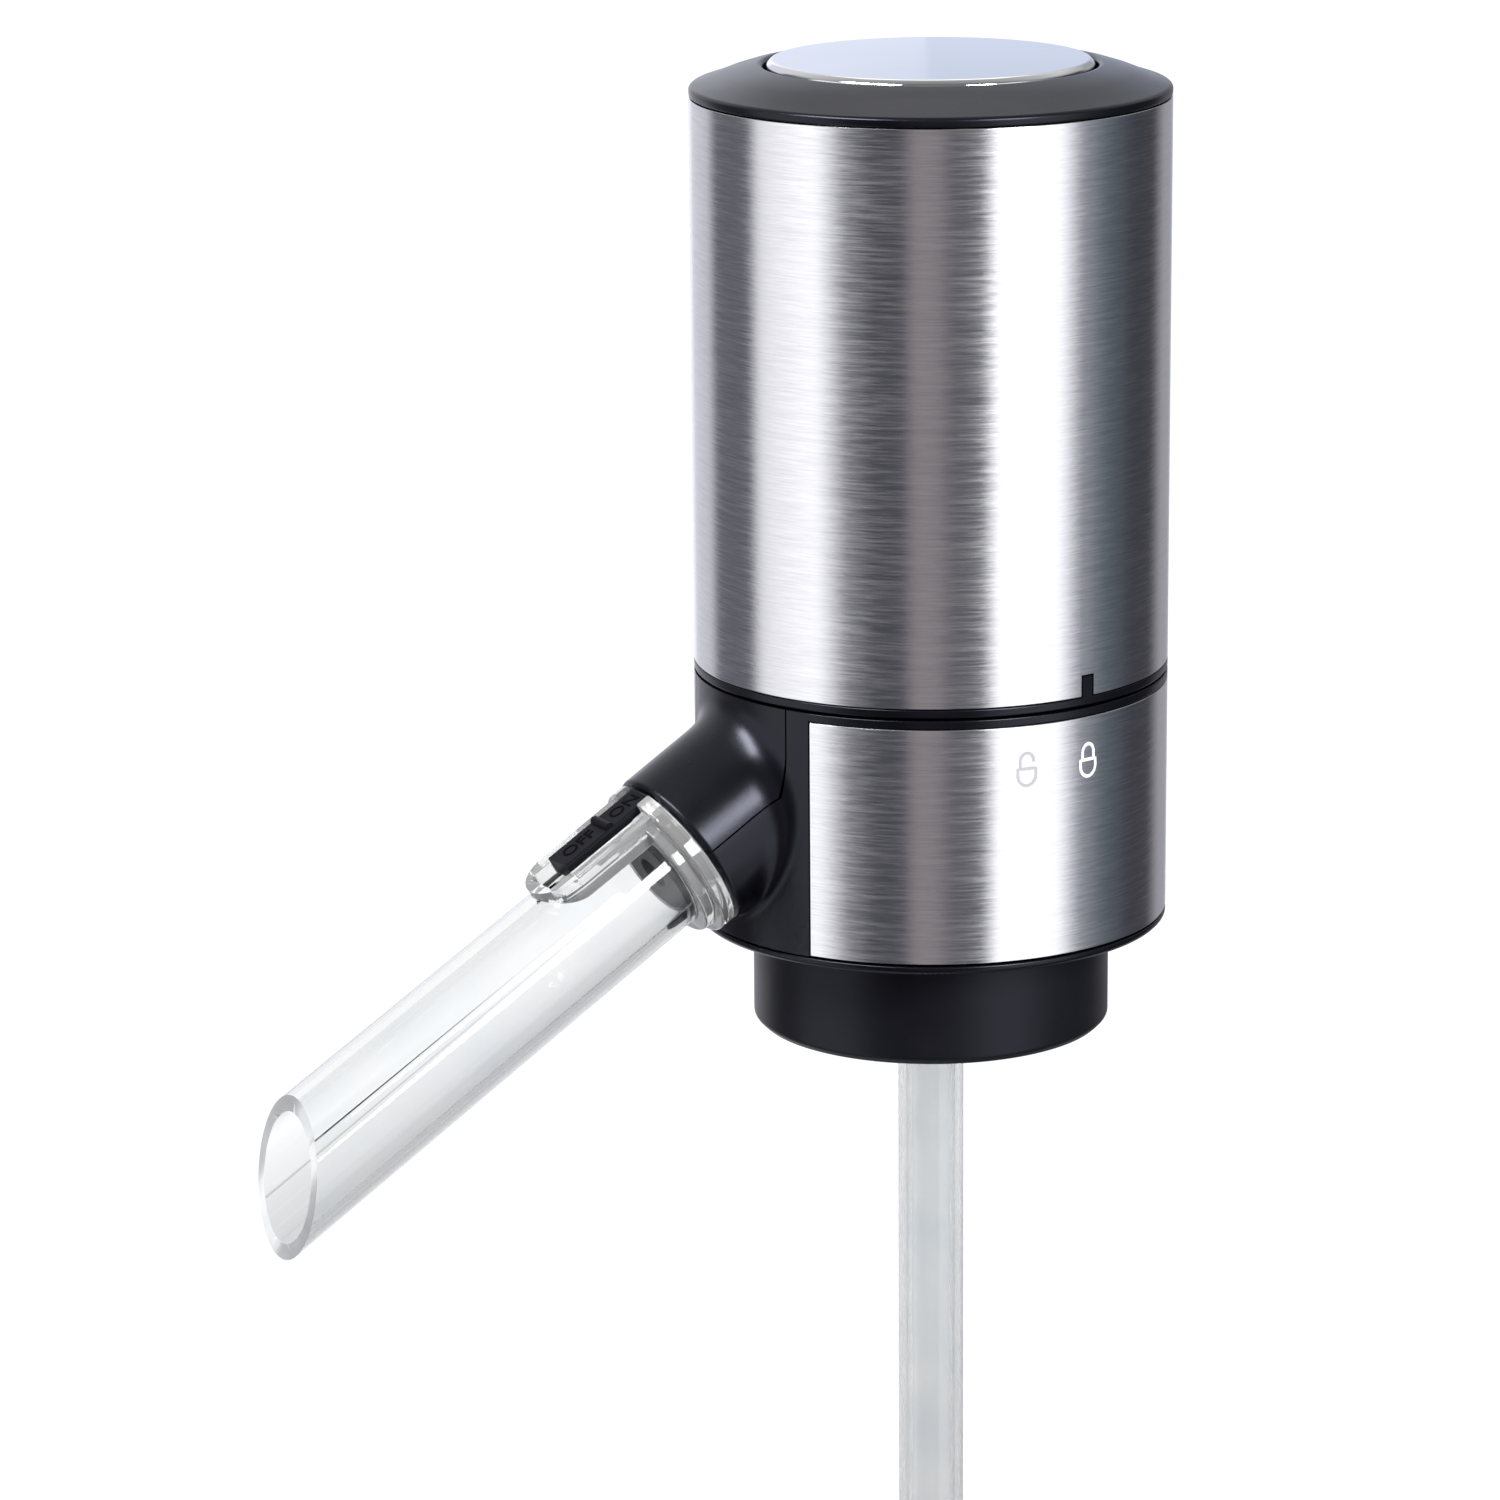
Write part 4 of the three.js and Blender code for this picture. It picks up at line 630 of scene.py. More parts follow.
# base: black front with the flowing nozzle, the nose cover and its seam
nozzle = {
    "radius": 10.4, "bore": 8.6, "boreStart": 24, "length": 41.0,
    # the rounded end as (back from the end, radius), from the bore to the outside
    "end": [
        (0.3, 8.6), (0.09, 8.69), (0, 8.9), (0, 9.9), (0.07, 10.15), (0.25, 10.33), (0.5, 10.4), (0.7, 10.4),
    ],
    "filletStop": 0.9, "filletRun": 3.6, "filletSide": 2.4, "filletTop": 1.5, "filletSteps": 12,
    "sides": 168,
    "skinSteps": (0.04, 0.1, 0.2, 0.34, 0.5, 0.7, 1.0),
    "skinReach": 27,
    "coverHalfWidth": 10.5, "coverRise": 2.8, "seam": 0.2, "lip": 1.2,
}


def byNozzle(along, radius, angle):
    return spoutFrame @ Vector((radius * math.sin(angle), radius * math.cos(angle), along))


def leavesBody(radius, angle):
    reach = math.sqrt(shell["radius"] ** 2 - (radius * math.sin(angle)) ** 2)
    return (reach - radius * math.cos(angle) * math.sin(fall)) / math.cos(fall)


def nozzleFoot(angle):
    spread = nozzle["filletTop"] - nozzle["filletSide"]
    radius = nozzle["radius"] + nozzle["filletSide"] + spread * math.cos(angle) ** 2
    return byNozzle(leavesBody(radius, angle), radius, angle)


# the front as rings: the bore, the nozzle's end, its side, its fillet, then out over the body's skin
def frontRings():
    radius, length = nozzle["radius"], nozzle["length"]
    angles = [2 * math.pi * i / nozzle["sides"] for i in range(nozzle["sides"])]
    rings = [[byNozzle(nozzle["boreStart"], nozzle["bore"], a) for a in angles]]
    for back, endRadius in nozzle["end"]:
        rings.append([byNozzle(length - back, endRadius, a) for a in angles])
    for step in range(nozzle["filletSteps"] + 1):
        share = step / nozzle["filletSteps"]
        ring = []
        for a in angles:
            corner = leavesBody(radius, a)
            start = byNozzle(min(corner + nozzle["filletRun"], length - nozzle["filletStop"]), radius, a)
            bend = byNozzle(corner, radius, a)
            end = nozzleFoot(a)
            ring.append(start.lerp(bend, share).lerp(bend.lerp(end, share), share))
        rings.append(ring)
    middle = spoutAxis["crossing"] - shell["radius"] * math.tan(fall)
    for reach in nozzle["skinSteps"]:
        ring = []
        for a in angles:
            foot = nozzleFoot(a)
            along = math.atan2(foot.y, foot.x) - azimuth
            along = (along + math.pi) % (2 * math.pi) - math.pi
            start = Vector((along * shell["radius"], foot.z))
            ray = (start - Vector((0, middle))).normalized()
            spot = start.lerp(Vector((0, middle)) + ray * nozzle["skinReach"], reach)
            turn = azimuth + spot.x / shell["radius"]
            ring.append(Vector((shell["radius"] * math.cos(turn), shell["radius"] * math.sin(turn), spot.y)))
        rings.append(ring)
    return rings


def trim(shape, point, normal):
    geometry = list(shape.verts) + list(shape.edges) + list(shape.faces)
    place, near = Vector(point) * mm, meshValues["cut"] * mm
    bmesh.ops.bisect_plane(shape, geom=geometry, plane_co=place, plane_no=normal, clear_outer=True, dist=near)


# a strip of wall behind every open edge, so that seams look like gaps between real mouldings
def lipInwards(shape, depth):
    shape.normal_update()
    inwards = {vert: -vert.normal.copy() for vert in shape.verts}
    edges = [edge for edge in shape.edges if edge.is_boundary]
    made = bmesh.ops.extrude_edge_only(shape, edges=edges)["geom"]
    origins = {}
    for edge in edges:
        for vert in edge.verts:
            for link in vert.link_edges:
                other = link.other_vert(vert)
                if other in made and other.co == vert.co:
                    origins[other] = vert
    for other, vert in origins.items():
        other.co += inwards[vert] * depth * mm


def frontPart(rings, cuts):
    shape = bmesh.new()
    rows = [[shape.verts.new(point * mm) for point in ring] for ring in rings]
    count = len(rows[0])
    for lower, upper in zip(rows, rows[1:]):
        for i in range(count):
            j = (i + 1) % count
            shape.faces.new((lower[i], lower[j], upper[j], upper[i]))
    bmesh.ops.recalc_face_normals(shape, faces=shape.faces)
    probe = max(shape.faces, key=lambda face: face.calc_center_median().dot(spoutOut))
    if probe.normal.dot(spoutOut) < 0:
        bmesh.ops.reverse_faces(shape, faces=shape.faces)
    for point, normal in cuts:
        trim(shape, point, normal)
    return shape


def frontFrame():
    half = panelValues["halfFront"]
    left, right = azimuth - half, azimuth + half
    return [
        ((0, 0, 0), Vector((math.sin(left), -math.cos(left), 0))),
        ((0, 0, 0), Vector((-math.sin(right), math.cos(right), 0))),
        ((0, 0, shell["frontBottom"]), Vector((0, 0, -1))),
        ((0, 0, shell["baseTop"]), Vector((0, 0, 1))),
    ]


def spoutPlane(x, y, normal):
    point = spoutFrame @ Vector((x, y, 0))
    return point, spoutFrame.to_3x3() @ Vector(normal)


def frontPieces():
    rings = frontRings()
    wide, rise, seam = nozzle["coverHalfWidth"], nozzle["coverRise"], nozzle["seam"]
    outline = frontFrame()
    aboveSeam = spoutPlane(0, rise - seam, (0, -1, 0))
    coverCuts = [
        spoutPlane(wide, 0, (1, 0, 0)),
        spoutPlane(-wide, 0, (-1, 0, 0)),
        spoutPlane(0, rise, (0, -1, 0)),
    ]
    below = [spoutPlane(0, rise - seam, (0, 1, 0))]
    rightSide = [spoutPlane(wide + seam, 0, (-1, 0, 0)), aboveSeam]
    leftSide = [spoutPlane(-wide - seam, 0, (1, 0, 0)), aboveSeam]
    cover = frontPart(rings, outline + coverCuts)
    rest = [frontPart(rings, outline + cuts) for cuts in (below, rightSide, leftSide)]
    return cover, rest


def intoMesh(name, shape):
    mesh = bpy.data.meshes.new(name)
    shape.to_mesh(mesh)
    shape.free()
    return mesh


def gathered(meshes):
    whole = bmesh.new()
    for mesh in meshes:
        whole.from_mesh(mesh)
        bpy.data.meshes.remove(mesh)
    return whole


housingValues = {
    "wall": {
        "outline": [
            (25.7, 14.56), (27.7, 14.56), (27.7, 43.06), (28.5, 43.06),
            (28.5, 44.06), (25.2, 44.06), (23.6, 41.06), (25.7, 38.9),
        ],
        "edge": 0.15,
        "sides": 150,
    },
    "neck": {
        "outline": [(23.6, 43.2), (27.0, 43.2), (27.0, 43.9), (25.2, 43.9), (25.2, 49.0), (23.6, 49.0)],
        "edge": 0.15,
        "sides": 160,
    },
    "ridges": {"radii": (25.0, 26.1), "heights": (47.9, 48.9), "before": 8, "after": 10.8, "sides": 8},
}


def housingBack():
    half = panelValues["halfFront"]
    span = (azimuth + half, azimuth - half + 2 * math.pi)
    wall, neck = turnedFrom(housingValues["wall"], span), turnedFrom(housingValues["neck"])
    return both(wall, neck, *arcBlocks(housingValues["ridges"]))


def makeFront():
    cover, rest = frontPieces()
    front = gathered([intoMesh("part", shape) for shape in rest])
    bmesh.ops.remove_doubles(front, verts=front.verts, dist=meshValues["seamWeld"] * mm)
    lipInwards(cover, nozzle["lip"])
    lipInwards(front, nozzle["lip"])
    whole = gathered([intoMesh("front", front), meshFrom("back", housingBack())])
    makePiece("nose_cover", intoMesh("nose", cover), "base", "black_plastic", ["nozzle_cover"])
    makePiece("base_front", intoMesh("base", whole), "base", "black_plastic", ["base_housing"])


makeFront()
print("black front and nozzle")


# base plate, collar and seal
plateValues = {
    "outline": [
        (21.9, 13.3), (28.0, 13.3), (28.5, 13.8), (28.5, 14.36), (25.4, 14.36), (25.4, 15.3), (21.9, 15.3),
    ],
    "edge": 0.22,
    "sides": 160,
    "screwCircle": 23.9,
    "firstScrew": azimuth + math.pi / 3,
    "screwHoles": [(1.8, 12.3, 14.3), (1.1, 12.3, 16.3)],  # radius, from, to
}
postSides = 40


def postShape(x, y, radius, low, high):
    points, faces = turned([(0, low), (radius, low), (radius, high), (0, high)], postSides)
    return [(px + x, py + y, pz) for px, py, pz in points], faces


def makePlate():
    tools = []
    for number in range(3):
        angle = plateValues["firstScrew"] + number * 2 * math.pi / 3
        x, y = (plateValues["screwCircle"] * f for f in (math.cos(angle), math.sin(angle)))
        tools += [("DIFFERENCE", postShape(x, y, *hole)) for hole in plateValues["screwHoles"]]
    mesh = carved(turnedFrom(plateValues), tools)
    makePiece("rim_plate", mesh, "base", "black_plastic", ["base_plate"])


collarValues = {
    "outline": [
        (16.2, 0), (20.7, 0), (21.6, 0.9), (21.6, 15.4), (23.3, 15.4), (23.3, 16.9), (18.9, 16.9),
        (18.9, 14.9), (5.6, 14.9), (5.6, 12.9), (18.9, 12.9), (18.9, 1.6), (16.2, 1.6),
    ],
    "edge": 0.3,
    "sides": 160,
}
sealValues = {
    "outline": [
        (18.6, 1.9), (18.6, 12.8), (5.6, 12.8), (5.6, 9.5), (14.4, 9.5), (15.3, 8.6), (15.3, 8.1),
        (14.9, 7.4), (15.3, 6.7), (15.3, 4.7), (14.9, 4.0), (15.3, 3.3), (15.3, 3.0), (16.4, 1.9),
    ],
    "edge": 0.15,
    "sides": 128,
}

makePlate()
makePiece("neck_collar", turnedFrom(collarValues), "base", "collar_plastic", ["bottle_collar"])
makePiece("neck_seal", turnedFrom(sealValues), "base", "silicone", ["bottle_seal"])
print("plate, collar, seal")


# dip tube in two lengths, the lower one cut at a slant
tubeValues = {
    "outer": 4.0, "wall": 0.7, "play": 0.3,
    "top": 18.7, "bottom": -140.0, "lowerTop": 0,
    "lowerShows": 10,
    "tipTurn": math.radians(35),
    "tipKnife": ((-12, 12), (-6, 6), (-12, 0)),
    "edge": 0.15,
    "sides": 64,
}


def makeDipTubes():
    outer, wall, bottom = tubeValues["outer"], tubeValues["wall"], tubeValues["bottom"]
    upper = soften(ringOutline(outer - wall, outer, bottom, tubeValues["top"]), tubeValues["edge"])
    makePiece("dip_tube_outer", turned(upper, tubeValues["sides"]), "base", "tube_plastic", ["dip_tube_upper"])
    inner, tip = outer - wall - tubeValues["play"], bottom - tubeValues["lowerShows"]
    lower = turned(ringOutline(inner - wall, inner, tip, tubeValues["lowerTop"]), tubeValues["sides"])
    turn = Matrix.Translation((-inner, 0, tip)) @ Matrix.Rotation(-tubeValues["tipTurn"], 4, "Y")
    mesh = carved(lower, [("DIFFERENCE", shifted(boxShape(*tubeValues["tipKnife"]), turn))])
    makePiece("dip_tube_inner", mesh, "lower_tube", "tube_plastic", ["dip_tube_lower"])


makeDipTubes()
print("dip tubes")


# the spring, a fixed helix carried with the button; on the real pump its lower end stays on the deck while the
# button goes down, so it gets shorter
springValues = {
    "radius": 4.6, "wire": 0.25, "turns": 2.5, "low": 111.95, "high": 114.227, "stroke": 1.0,
    "steps": 80, "sides": 10,
}


def makeSpring():
    low, high, wire = springValues["low"], springValues["high"], springValues["wire"]
    steps, sides = springValues["steps"], springValues["sides"]
    points, faces = [], []
    for step in range(steps + 1):
        share = step / steps
        turn = share * springValues["turns"] * 2 * math.pi
        for side in range(sides):
            around = 2 * math.pi * side / sides
            reach = springValues["radius"] + wire * math.cos(around)
            height = low + share * (high - low) + wire * math.sin(around)
            points.append((reach * math.cos(turn), reach * math.sin(turn), height))
    for step in range(steps):
        for side in range(sides):
            a, b = step * sides + side, step * sides + (side + 1) % sides
            faces.append((a, b, b + sides, a + sides))
    faces.append(tuple(range(sides)))
    faces.append(tuple(range(steps * sides, (steps + 1) * sides)))
    piece = makePiece("press_spring", (points, faces), "button", "plain_steel", ["button_spring"])
    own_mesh(piece)


makeSpring()
print("spring")


# wine socket, clear spout, its ring and insert, as radius or height by the place along the spout
socketValues = {
    "outline": [(4.7, 22.5), (8.3, 22.5), (8.3, 40.7), (7.0, 40.7), (7.0, 25.3), (4.7, 25.3)],
    "edge": 0.2,
    "sides": 96,
}
spoutValues = {
    "outline": [
        (0, 25.6), (6.4, 25.6), (6.7, 25.9), (6.7, 29.5), (5.9, 29.5), (5.9, 31.5), (6.7, 31.5), (6.7, 41.3),
        (10.2, 41.3), (10.2, 43.2), (9.0, 43.2), (9.0, 44.7), (7.34, 44.7), (7.7, 117.3), (0, 117.3),
    ],
    "closed": False, "edge": 0.25, "sides": 112, "bevel": 0.12,
    "passage": [(0, 24), (5.2, 24), (5.2, 40.5), (5.84, 40.5), (6.2, 118.3), (0, 118.3)],
    "flangeStart": 41.3,
    "railHalf": 4.75, "railHeights": (5.0, 8.5), "railEnd": 59.0, "railSteps": 32,
    "channel": ((-2.55, 2.55), (6.9, 11.2), (40.3, 57.5)),
    "wingRoom": ((-3.5, 3.5), (6.91, 7.9), (40.32, 54.3)),
    "port": (0, 56.2, 1.0, 0, 7.5),  # across, along, radius, from, to
    "tip": 101.9,
    "tipAngle": math.radians(38),
    "tipKnife": ((-32, 32), (-32, 32), (0, 32)),
    "rimFacing": 0.995,
    "thickFrom": 40.8,
    "thickRadius": 7.6,
    "thickTo": 60.0,
}


# a shape drawn across and along, raised over the spout
def overSpout(shape):
    return [(x, z, y) for x, y, z in shape[0]], shape[1]


def railShape():
    half, start, end = spoutValues["railHalf"], spoutValues["flangeStart"], spoutValues["railEnd"]
    nose = arcPoints((0, end - half), (half, half), 0, math.pi, spoutValues["railSteps"])
    return overSpout(prismShape([(-half, start), (half, start), *nose], *spoutValues["railHeights"]))


def makeSpout():
    tip, tipAngle = spoutValues["tip"], spoutValues["tipAngle"]
    knifeTurn = Matrix.Translation((0, 0, tip)) @ Matrix.Rotation(-tipAngle, 4, "X")
    tools = [
        ("UNION", railShape()),
        ("DIFFERENCE", turned(spoutValues["passage"], spoutValues["sides"])),
        ("DIFFERENCE", boxShape(*spoutValues["channel"])),
        ("DIFFERENCE", boxShape(*spoutValues["wingRoom"])),
        ("DIFFERENCE", overSpout(postShape(*spoutValues["port"]))),
        ("DIFFERENCE", shifted(boxShape(*spoutValues["tipKnife"]), knifeTurn)),
    ]
    mesh = carved(turnedFrom(spoutValues), tools, spoutValues["bevel"])
    mesh.transform(Matrix.Scale(mm, 4) @ spoutFrame @ Matrix.Scale(1 / mm, 4))
    makePiece("clear_spout", mesh, "spout", "clear_plastic", ["spout_tube"], None, None)
    mesh.materials.append(cutEdge)
    mesh.materials.append(thickPlastic)
    rake = spoutFrame.to_3x3() @ Vector((0, math.sin(tipAngle), math.cos(tipAngle)))
    for polygon in mesh.polygons:
        across, up, along = spoutFrame.inverted() @ (polygon.center / mm)
        thick = spoutValues["thickFrom"] < along < spoutValues["thickTo"]
        if polygon.normal.dot(rake) > spoutValues["rimFacing"]:
            polygon.material_index = 1
        elif thick and math.hypot(across, up) > spoutValues["thickRadius"]:
            polygon.material_index = 2


ringValues = {"middle": (6.45, 30.5), "radii": (0.45, 0.45), "steps": 16, "sides": 96}
throatValues = {
    "outline": [(4.4, 42.8), (5.64, 42.8), (5.64, 45.2), (2.1, 45.2), (2.1, 44.0)],
    "edge": 0.12,
    "sides": 96,
}


def ringShape():
    outline = arcPoints(ringValues["middle"], ringValues["radii"], 0, 2 * math.pi, ringValues["steps"])
    return turned(outline[:-1], ringValues["sides"])


socket, ring, throat = (
    shifted(shape, spoutFrame) for shape in (turnedFrom(socketValues), ringShape(), turnedFrom(throatValues))
)
makePiece("socket_sleeve", socket, "base", "inner_plastic", ["spout_socket"])
makeSpout()
makePiece("spout_ring", ring, "spout", "silicone", ["spout_o_ring"])
makePiece("throat_insert", throat, "spout", "inner_plastic", ["aerator_insert"])
print("spout")


# air slider with its letters
sliderValues = {
    "half": 2.25, "bottom": 7.2, "top": 9.4, "start": 41.3, "end": 54.4,
    "edge": 0.35, "edgeSteps": 4,
    "wings": ((-3.2, 3.2), (7.2, 7.6), (41.3, 51.2)),
    "ridge": (47.2, 9.38), "ridgeRadii": (0.6, 0.6), "ridgeSteps": 12,
}


def makeSlider():
    half, bottom, top, edge = (sliderValues[key] for key in ("half", "bottom", "top", "edge"))
    # soften leaves corners on the axis sharp, so the section is drawn well beside it
    beside = 5
    left, right = beside - half, beside + half
    section = [(right, bottom), (right, top), (left, top), (left, bottom)]
    section = [(x - beside, y) for x, y in soften(section, edge, sliderValues["edgeSteps"], closed=False)]
    ridge = arcPoints(sliderValues["ridge"], sliderValues["ridgeRadii"], 0, math.pi, sliderValues["ridgeSteps"])
    ridgePoints, ridgeFaces = prismShape(ridge, -half + edge, half - edge)
    bar = prismShape(section, sliderValues["start"], sliderValues["end"])
    shape = both(bar, boxShape(*sliderValues["wings"]), ([(z, y, x) for x, y, z in ridgePoints], ridgeFaces))
    makePiece("slider_bar", shifted(shape, spoutFrame), "slider", "slider_plastic", ["air_slider"])


letterValues = {
    "size": 2.7, "extrude": 0.03, "swell": 0.02, "lift": 0.02,
    "words": [("letters_off", "OFF", 50.9), ("letters_on", "ON", 43.8)],  # piece, word, place along
}


def makeLetters(name, word, along):
    curve = bpy.data.curves.new(name, "FONT")
    curve.body = word
    curve.size = letterValues["size"] * mm
    curve.extrude = letterValues["extrude"] * mm
    curve.align_x = "CENTER"
    curve.align_y = "CENTER"
    curve.offset = letterValues["swell"] * mm
    temporary = bpy.data.objects.new(name, curve)
    bpy.context.scene.collection.objects.link(temporary)
    graph = bpy.context.evaluated_depsgraph_get()
    mesh = bpy.data.meshes.new_from_object(temporary.evaluated_get(graph))
    bpy.data.objects.remove(temporary)
    middle = spoutFrame @ Vector((0, sliderValues["top"] + letterValues["lift"], along))
    turn = Matrix((-spoutOut, -spoutAcross, spoutUp)).transposed().to_4x4()
    mesh.transform(Matrix.Translation(middle * mm) @ turn)
    makePiece(name, mesh, "slider", "slider_plastic", material=lettersPaintedShade)


makeSlider()
for name, word, along in letterValues["words"]:
    makeLetters(name, word, along)
print("slider")


# lock signs on the panel, as thin printed lines
signValues = {
    "line": 0.4, "lift": 0.012, "width": 2.3, "height": 3.9, "middle": 37.75,
    "bodyShare": 0.52,  # the body's height, as a share of the sign's
    "bodyRound": 1.1,  # the body's lower end and the shackle's arch, stretched upwards
    "bodySteps": 20,
    "topSteps": 8,
    "archShare": 0.74,
    "archRound": 1.15,
    "archSteps": 16,
    "openEnd": -math.radians(8),
    "closed": -49.8,
    "open": -66.9,
}


def strokeShape(path, width, degrees, closed=False):
    radius = shell["radius"] + signValues["lift"]
    points, faces = [], []
    count = len(path)
    for i, (x, z) in enumerate(path):
        before = path[i - 1] if closed or i else path[i]
        after = path[(i + 1) % count] if closed or i < count - 1 else path[i]
        along = Vector((after[0] - before[0], after[1] - before[1])).normalized()
        side = Vector((-along.y, along.x)) * width / 2
        for px, pz in ((x + side.x, z + side.y), (x - side.x, z - side.y)):
            turn = math.radians(degrees) + px / radius
            points.append((radius * math.cos(turn), radius * math.sin(turn), pz))
    for i in range(count if closed else count - 1):
        j = (i + 1) % count
        faces.append((2 * i, 2 * j, 2 * j + 1, 2 * i + 1))
    return points, faces


def lockSign(name, degrees, opened, material):
    half, height, middle = signValues["width"] / 2, signValues["height"], signValues["middle"]
    lower, upper = middle - height / 2, middle + height / 2
    bodyTop, bodyRound = lower + height * signValues["bodyShare"], half * signValues["bodyRound"]
    topSteps, bodySteps, archSteps = (signValues[key] for key in ("topSteps", "bodySteps", "archSteps"))
    body = [(half * (1 - 2 * step / topSteps), bodyTop) for step in range(topSteps + 1)]
    body += arcPoints((0, lower + bodyRound), (half, bodyRound), math.pi, 2 * math.pi, bodySteps)
    arch = half * signValues["archShare"]
    archRound = arch * signValues["archRound"]
    archEnd = signValues["openEnd"] if opened else 0
    shackle = [(-arch, bodyTop)]
    shackle += arcPoints((0, upper - archRound), (arch, archRound), math.pi, archEnd, archSteps)
    if not opened:
        shackle.append((arch, bodyTop))
    width = signValues["line"]
    shape = both(strokeShape(body, width, degrees, True), strokeShape(shackle, width, degrees))
    makePiece(name, shape, "base", "brushed_steel", material=material)


lockSign("lock_sign", signValues["closed"], False, printWhite)
lockSign("unlock_sign", signValues["open"], True, printPale)
print("signs")


# studio: pale floor, soft lamps, and a sky whose bands the steel mirrors
studio = {
    "floor": -284.0,
    "floorHalf": 4000,
    "floorColour": (0.25, 0.25, 0.26, 1),
    "lamps": [
        {"side": "left", "azimuth": -52, "height": 1000, "reach": 880, "size": (800, 320), "power": 24.0},
        {"side": "right", "azimuth": 38, "height": 600, "reach": 1100, "size": (380, 420), "power": 12.0},
        {"side": "rear", "azimuth": 180, "height": 1250, "reach": 700, "size": (900, 600), "power": 1.5},
    ],
    "lampTarget": (0, 0, 50),
    "ambient": 0.62,
    # each glow goes from its first to its second value between the two places named "From"
    "floorGlow": (0.66, 0.88),
    "floorGlowFrom": (0.25, 1.2),
    "floorThrough": (0.2, 0.8),
    "floorThroughFrom": (0.45, 1.1),
    "ceiling": (0.2, 0.8),
    "ceilingFrom": (-0.35, 0.65),
    "ceilingAbove": (0.3, 0.6),
    "depths": (0.5, 1.0),
    "depthsFrom": (-0.85, -0.45),
    "overhead": (1.0, 0.3),
    "overheadFrom": (0.42, 0.72),
    "brightest": 2.0,
    # what steel mirrors, by the degrees round from the camera's side
    "bands": [
        (-180, (0.78, 0.84, 1.0)), (-166, (1.2, 1.21, 1.3)), (-158, (0.82, 0.82, 0.9)),
        (-133, (0.78, 0.78, 0.86)), (-124, (0.18, 0.18, 0.21)), (-97, (0.16, 0.16, 0.19)),
        (-89, (1.2, 1.2, 1.25)), (-56, (1.6, 1.6, 1.65)), (-41, (0.29, 0.29, 0.32)),
        (-28, (0.08, 0.08, 0.1)), (-14, (0.09, 0.09, 0.11)), (-7, (0.37, 0.33, 0.35)),
        (3, (0.33, 0.3, 0.32)), (11, (0.15, 0.15, 0.17)), (25, (0.16, 0.16, 0.18)), (33, (1.75, 1.75, 1.8)),
        (64, (1.75, 1.75, 1.82)), (76, (0.42, 0.43, 0.49)), (92, (0.15, 0.18, 0.21)),
        (112, (0.07, 0.07, 0.09)), (132, (0.07, 0.07, 0.08)), (146, (0.44, 0.43, 0.47)),
        (163, (0.4, 0.4, 0.43)), (175, (0.7, 0.76, 0.93)),
    ],
}


def makeFloor():
    low, half = studio["floor"], studio["floorHalf"]
    points = [(-half, -half, low), (half, -half, low), (half, half, low), (-half, half, low)]
    mesh = bpy.data.meshes.new("floor")
    mesh.from_pydata([Vector(point) * mm for point in points], [], [(0, 1, 2, 3)])
    floor = bpy.data.objects.new("floor", mesh)
    bpy.context.scene.collection.objects.link(floor)
    material, look = newLook("pale floor")
    camera = look.node("ShaderNodeLightPath", {}, {}, "Is Camera Ray")
    through = look.node("ShaderNodeLightPath", {}, {}, "Is Transmission Ray")
    spot = look.node("ShaderNodeTexCoord", {}, {}, "Object")
    distance = look.node("ShaderNodeVectorMath", {"operation": "LENGTH"}, {0: spot}, "Value")
    shaded = look.spread(distance, *studio["floorThrough"], *studio["floorThroughFrom"])
    pale = look.spread(distance, *studio["floorGlow"], *studio["floorGlowFrom"])
    matt = look.node("ShaderNodeBsdfDiffuse", {}, {"Color": studio["floorColour"]})
    shown = look.maths("MAXIMUM", camera * pale, through * shaded)
    glow = look.node("ShaderNodeEmission", {}, {"Color": (1, 1, 1, 1), "Strength": shown})
    lit = look.node("ShaderNodeAddShader", {}, {0: matt, 1: glow})
    fromBelow = look.node("ShaderNodeNewGeometry", {}, {}, "Backfacing")
    clear = look.node("ShaderNodeBsdfTransparent", {}, {})
    surface = look.node("ShaderNodeMixShader", {}, {0: fromBelow, 1: lit, 2: clear})
    look.node("ShaderNodeOutputMaterial", {}, {"Surface": surface})
    mesh.materials.append(material)
    floor.visible_glossy = False


def background(look, colour, strength):
    return look.node("ShaderNodeBackground", {}, {"Color": colour, "Strength": strength})


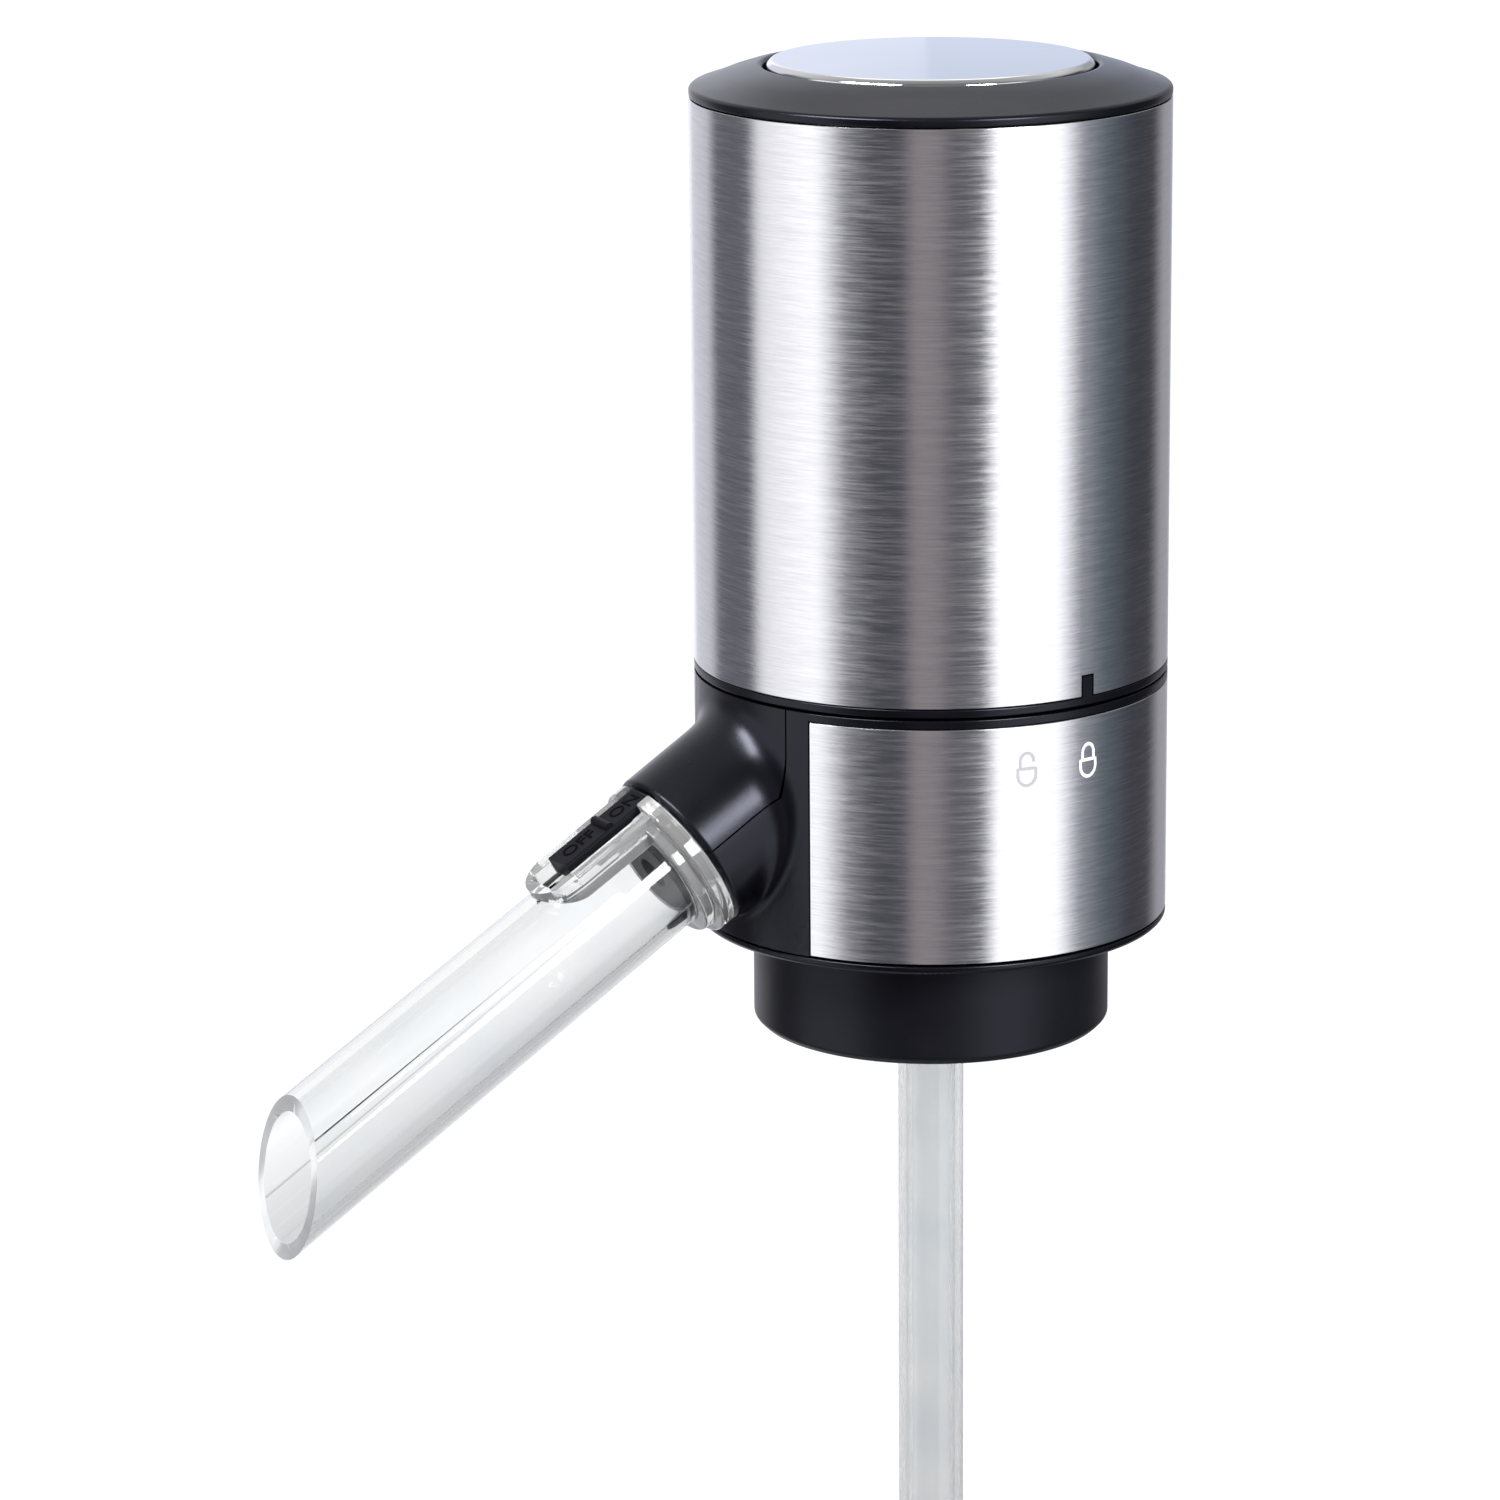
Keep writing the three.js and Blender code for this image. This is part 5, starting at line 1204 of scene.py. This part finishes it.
def makeWorld():
    world = bpy.data.worlds.new("studio sky")
    world.use_nodes = True
    bpy.context.scene.world = world
    look = Look(world.node_tree)
    white, brightest = (1, 1, 1, 1), studio["brightest"]
    direction = look.node("ShaderNodeTexCoord", {}, {}, "Generated")
    x, y, z = (look.node("ShaderNodeSeparateXYZ", {}, {"Vector": direction}, axis) for axis in ("X", "Y", "Z"))
    turn = look.maths("ARCTAN2", x, y * -1.0) / (2 * math.pi) + 0.5
    stops = [(0.5 + angle / 360, tuple(c / brightest for c in colour)) for angle, colour in studio["bands"]]
    bands = look.node("ShaderNodeValToRGB", {"stops": stops}, {"Fac": turn}, "Color")
    ceiling = (glow / brightest for glow in studio["ceiling"])
    roof = look.spread(y, *ceiling, *studio["ceilingFrom"])
    above = look.spread(z, 0.0, 1.0, *studio["ceilingAbove"])
    sky = look.node("ShaderNodeMix", {"data_type": "RGBA"}, {0: above, 6: bands, 7: roof}, 2)
    depths = (share * brightest for share in studio["depths"])
    mirrored = background(look, sky, look.spread(z, *depths, *studio["depthsFrom"]))
    steep = look.maths("ABSOLUTE", z, 0.0)
    beyond = background(look, white, look.spread(steep, *studio["overhead"], *studio["overheadFrom"]))
    kinds = ("Is Glossy Ray", "Is Transmission Ray", "Is Camera Ray")
    glossy, through, camera = (look.node("ShaderNodeLightPath", {}, {}, kind) for kind in kinds)
    surface = background(look, white, studio["ambient"])
    for chosen, other in ((glossy, mirrored), (through, beyond), (camera, background(look, white, 1.0))):
        surface = look.node("ShaderNodeMixShader", {}, {0: chosen, 1: surface, 2: other})
    look.node("ShaderNodeOutputWorld", {}, {"Surface": surface})


def makeLamps():
    target = Vector(studio["lampTarget"]) * mm
    for values in studio["lamps"]:
        turn, reach = math.radians(values["azimuth"]), values["reach"]
        spot = Vector((math.sin(turn) * reach, -math.cos(turn) * reach, values["height"])) * mm
        name = values["side"] + " softbox"
        lamp = bpy.data.lights.new(name, "AREA")
        lamp.shape = "RECTANGLE"
        lamp.size, lamp.size_y = (side * mm for side in values["size"])
        lamp.energy = values["power"]
        holder = bpy.data.objects.new(name, lamp)
        holder.location = spot
        holder.rotation_euler = (target - spot).to_track_quat("-Z", "Y").to_euler()
        bpy.context.scene.collection.objects.link(holder)


view = {
    "place": (-0.79, -689.2, 210.35),
    "yaw": math.radians(-1.752),
    "pitch": math.radians(14.396),
    "roll": math.radians(-0.469),
    "lens": 141.07,
    "sensor": 36,
    "clip": (0.01, 20),
}


def makeCamera():
    yaw, pitch, roll = view["yaw"], view["pitch"], view["roll"]
    forward = Vector((math.sin(yaw) * math.cos(pitch), math.cos(yaw) * math.cos(pitch), -math.sin(pitch)))
    level = Vector((math.cos(yaw), -math.sin(yaw), 0))
    upright = level.cross(forward)
    right = level * math.cos(roll) + upright * math.sin(roll)
    up = upright * math.cos(roll) - level * math.sin(roll)
    camera = bpy.data.cameras.new("camera")
    camera.sensor_width = view["sensor"]
    camera.lens = view["lens"]
    camera.clip_start, camera.clip_end = view["clip"]
    holder = bpy.data.objects.new("camera", camera)
    rows = Matrix((right, up, -forward)).transposed().to_4x4()
    holder.matrix_world = Matrix.Translation(Vector(view["place"]) * mm) @ rows
    bpy.context.scene.collection.objects.link(holder)
    bpy.context.scene.camera = holder


makeFloor()
makeWorld()
makeLamps()
makeCamera()
bpy.context.scene.view_settings.view_transform = "Standard"
print("studio and camera")
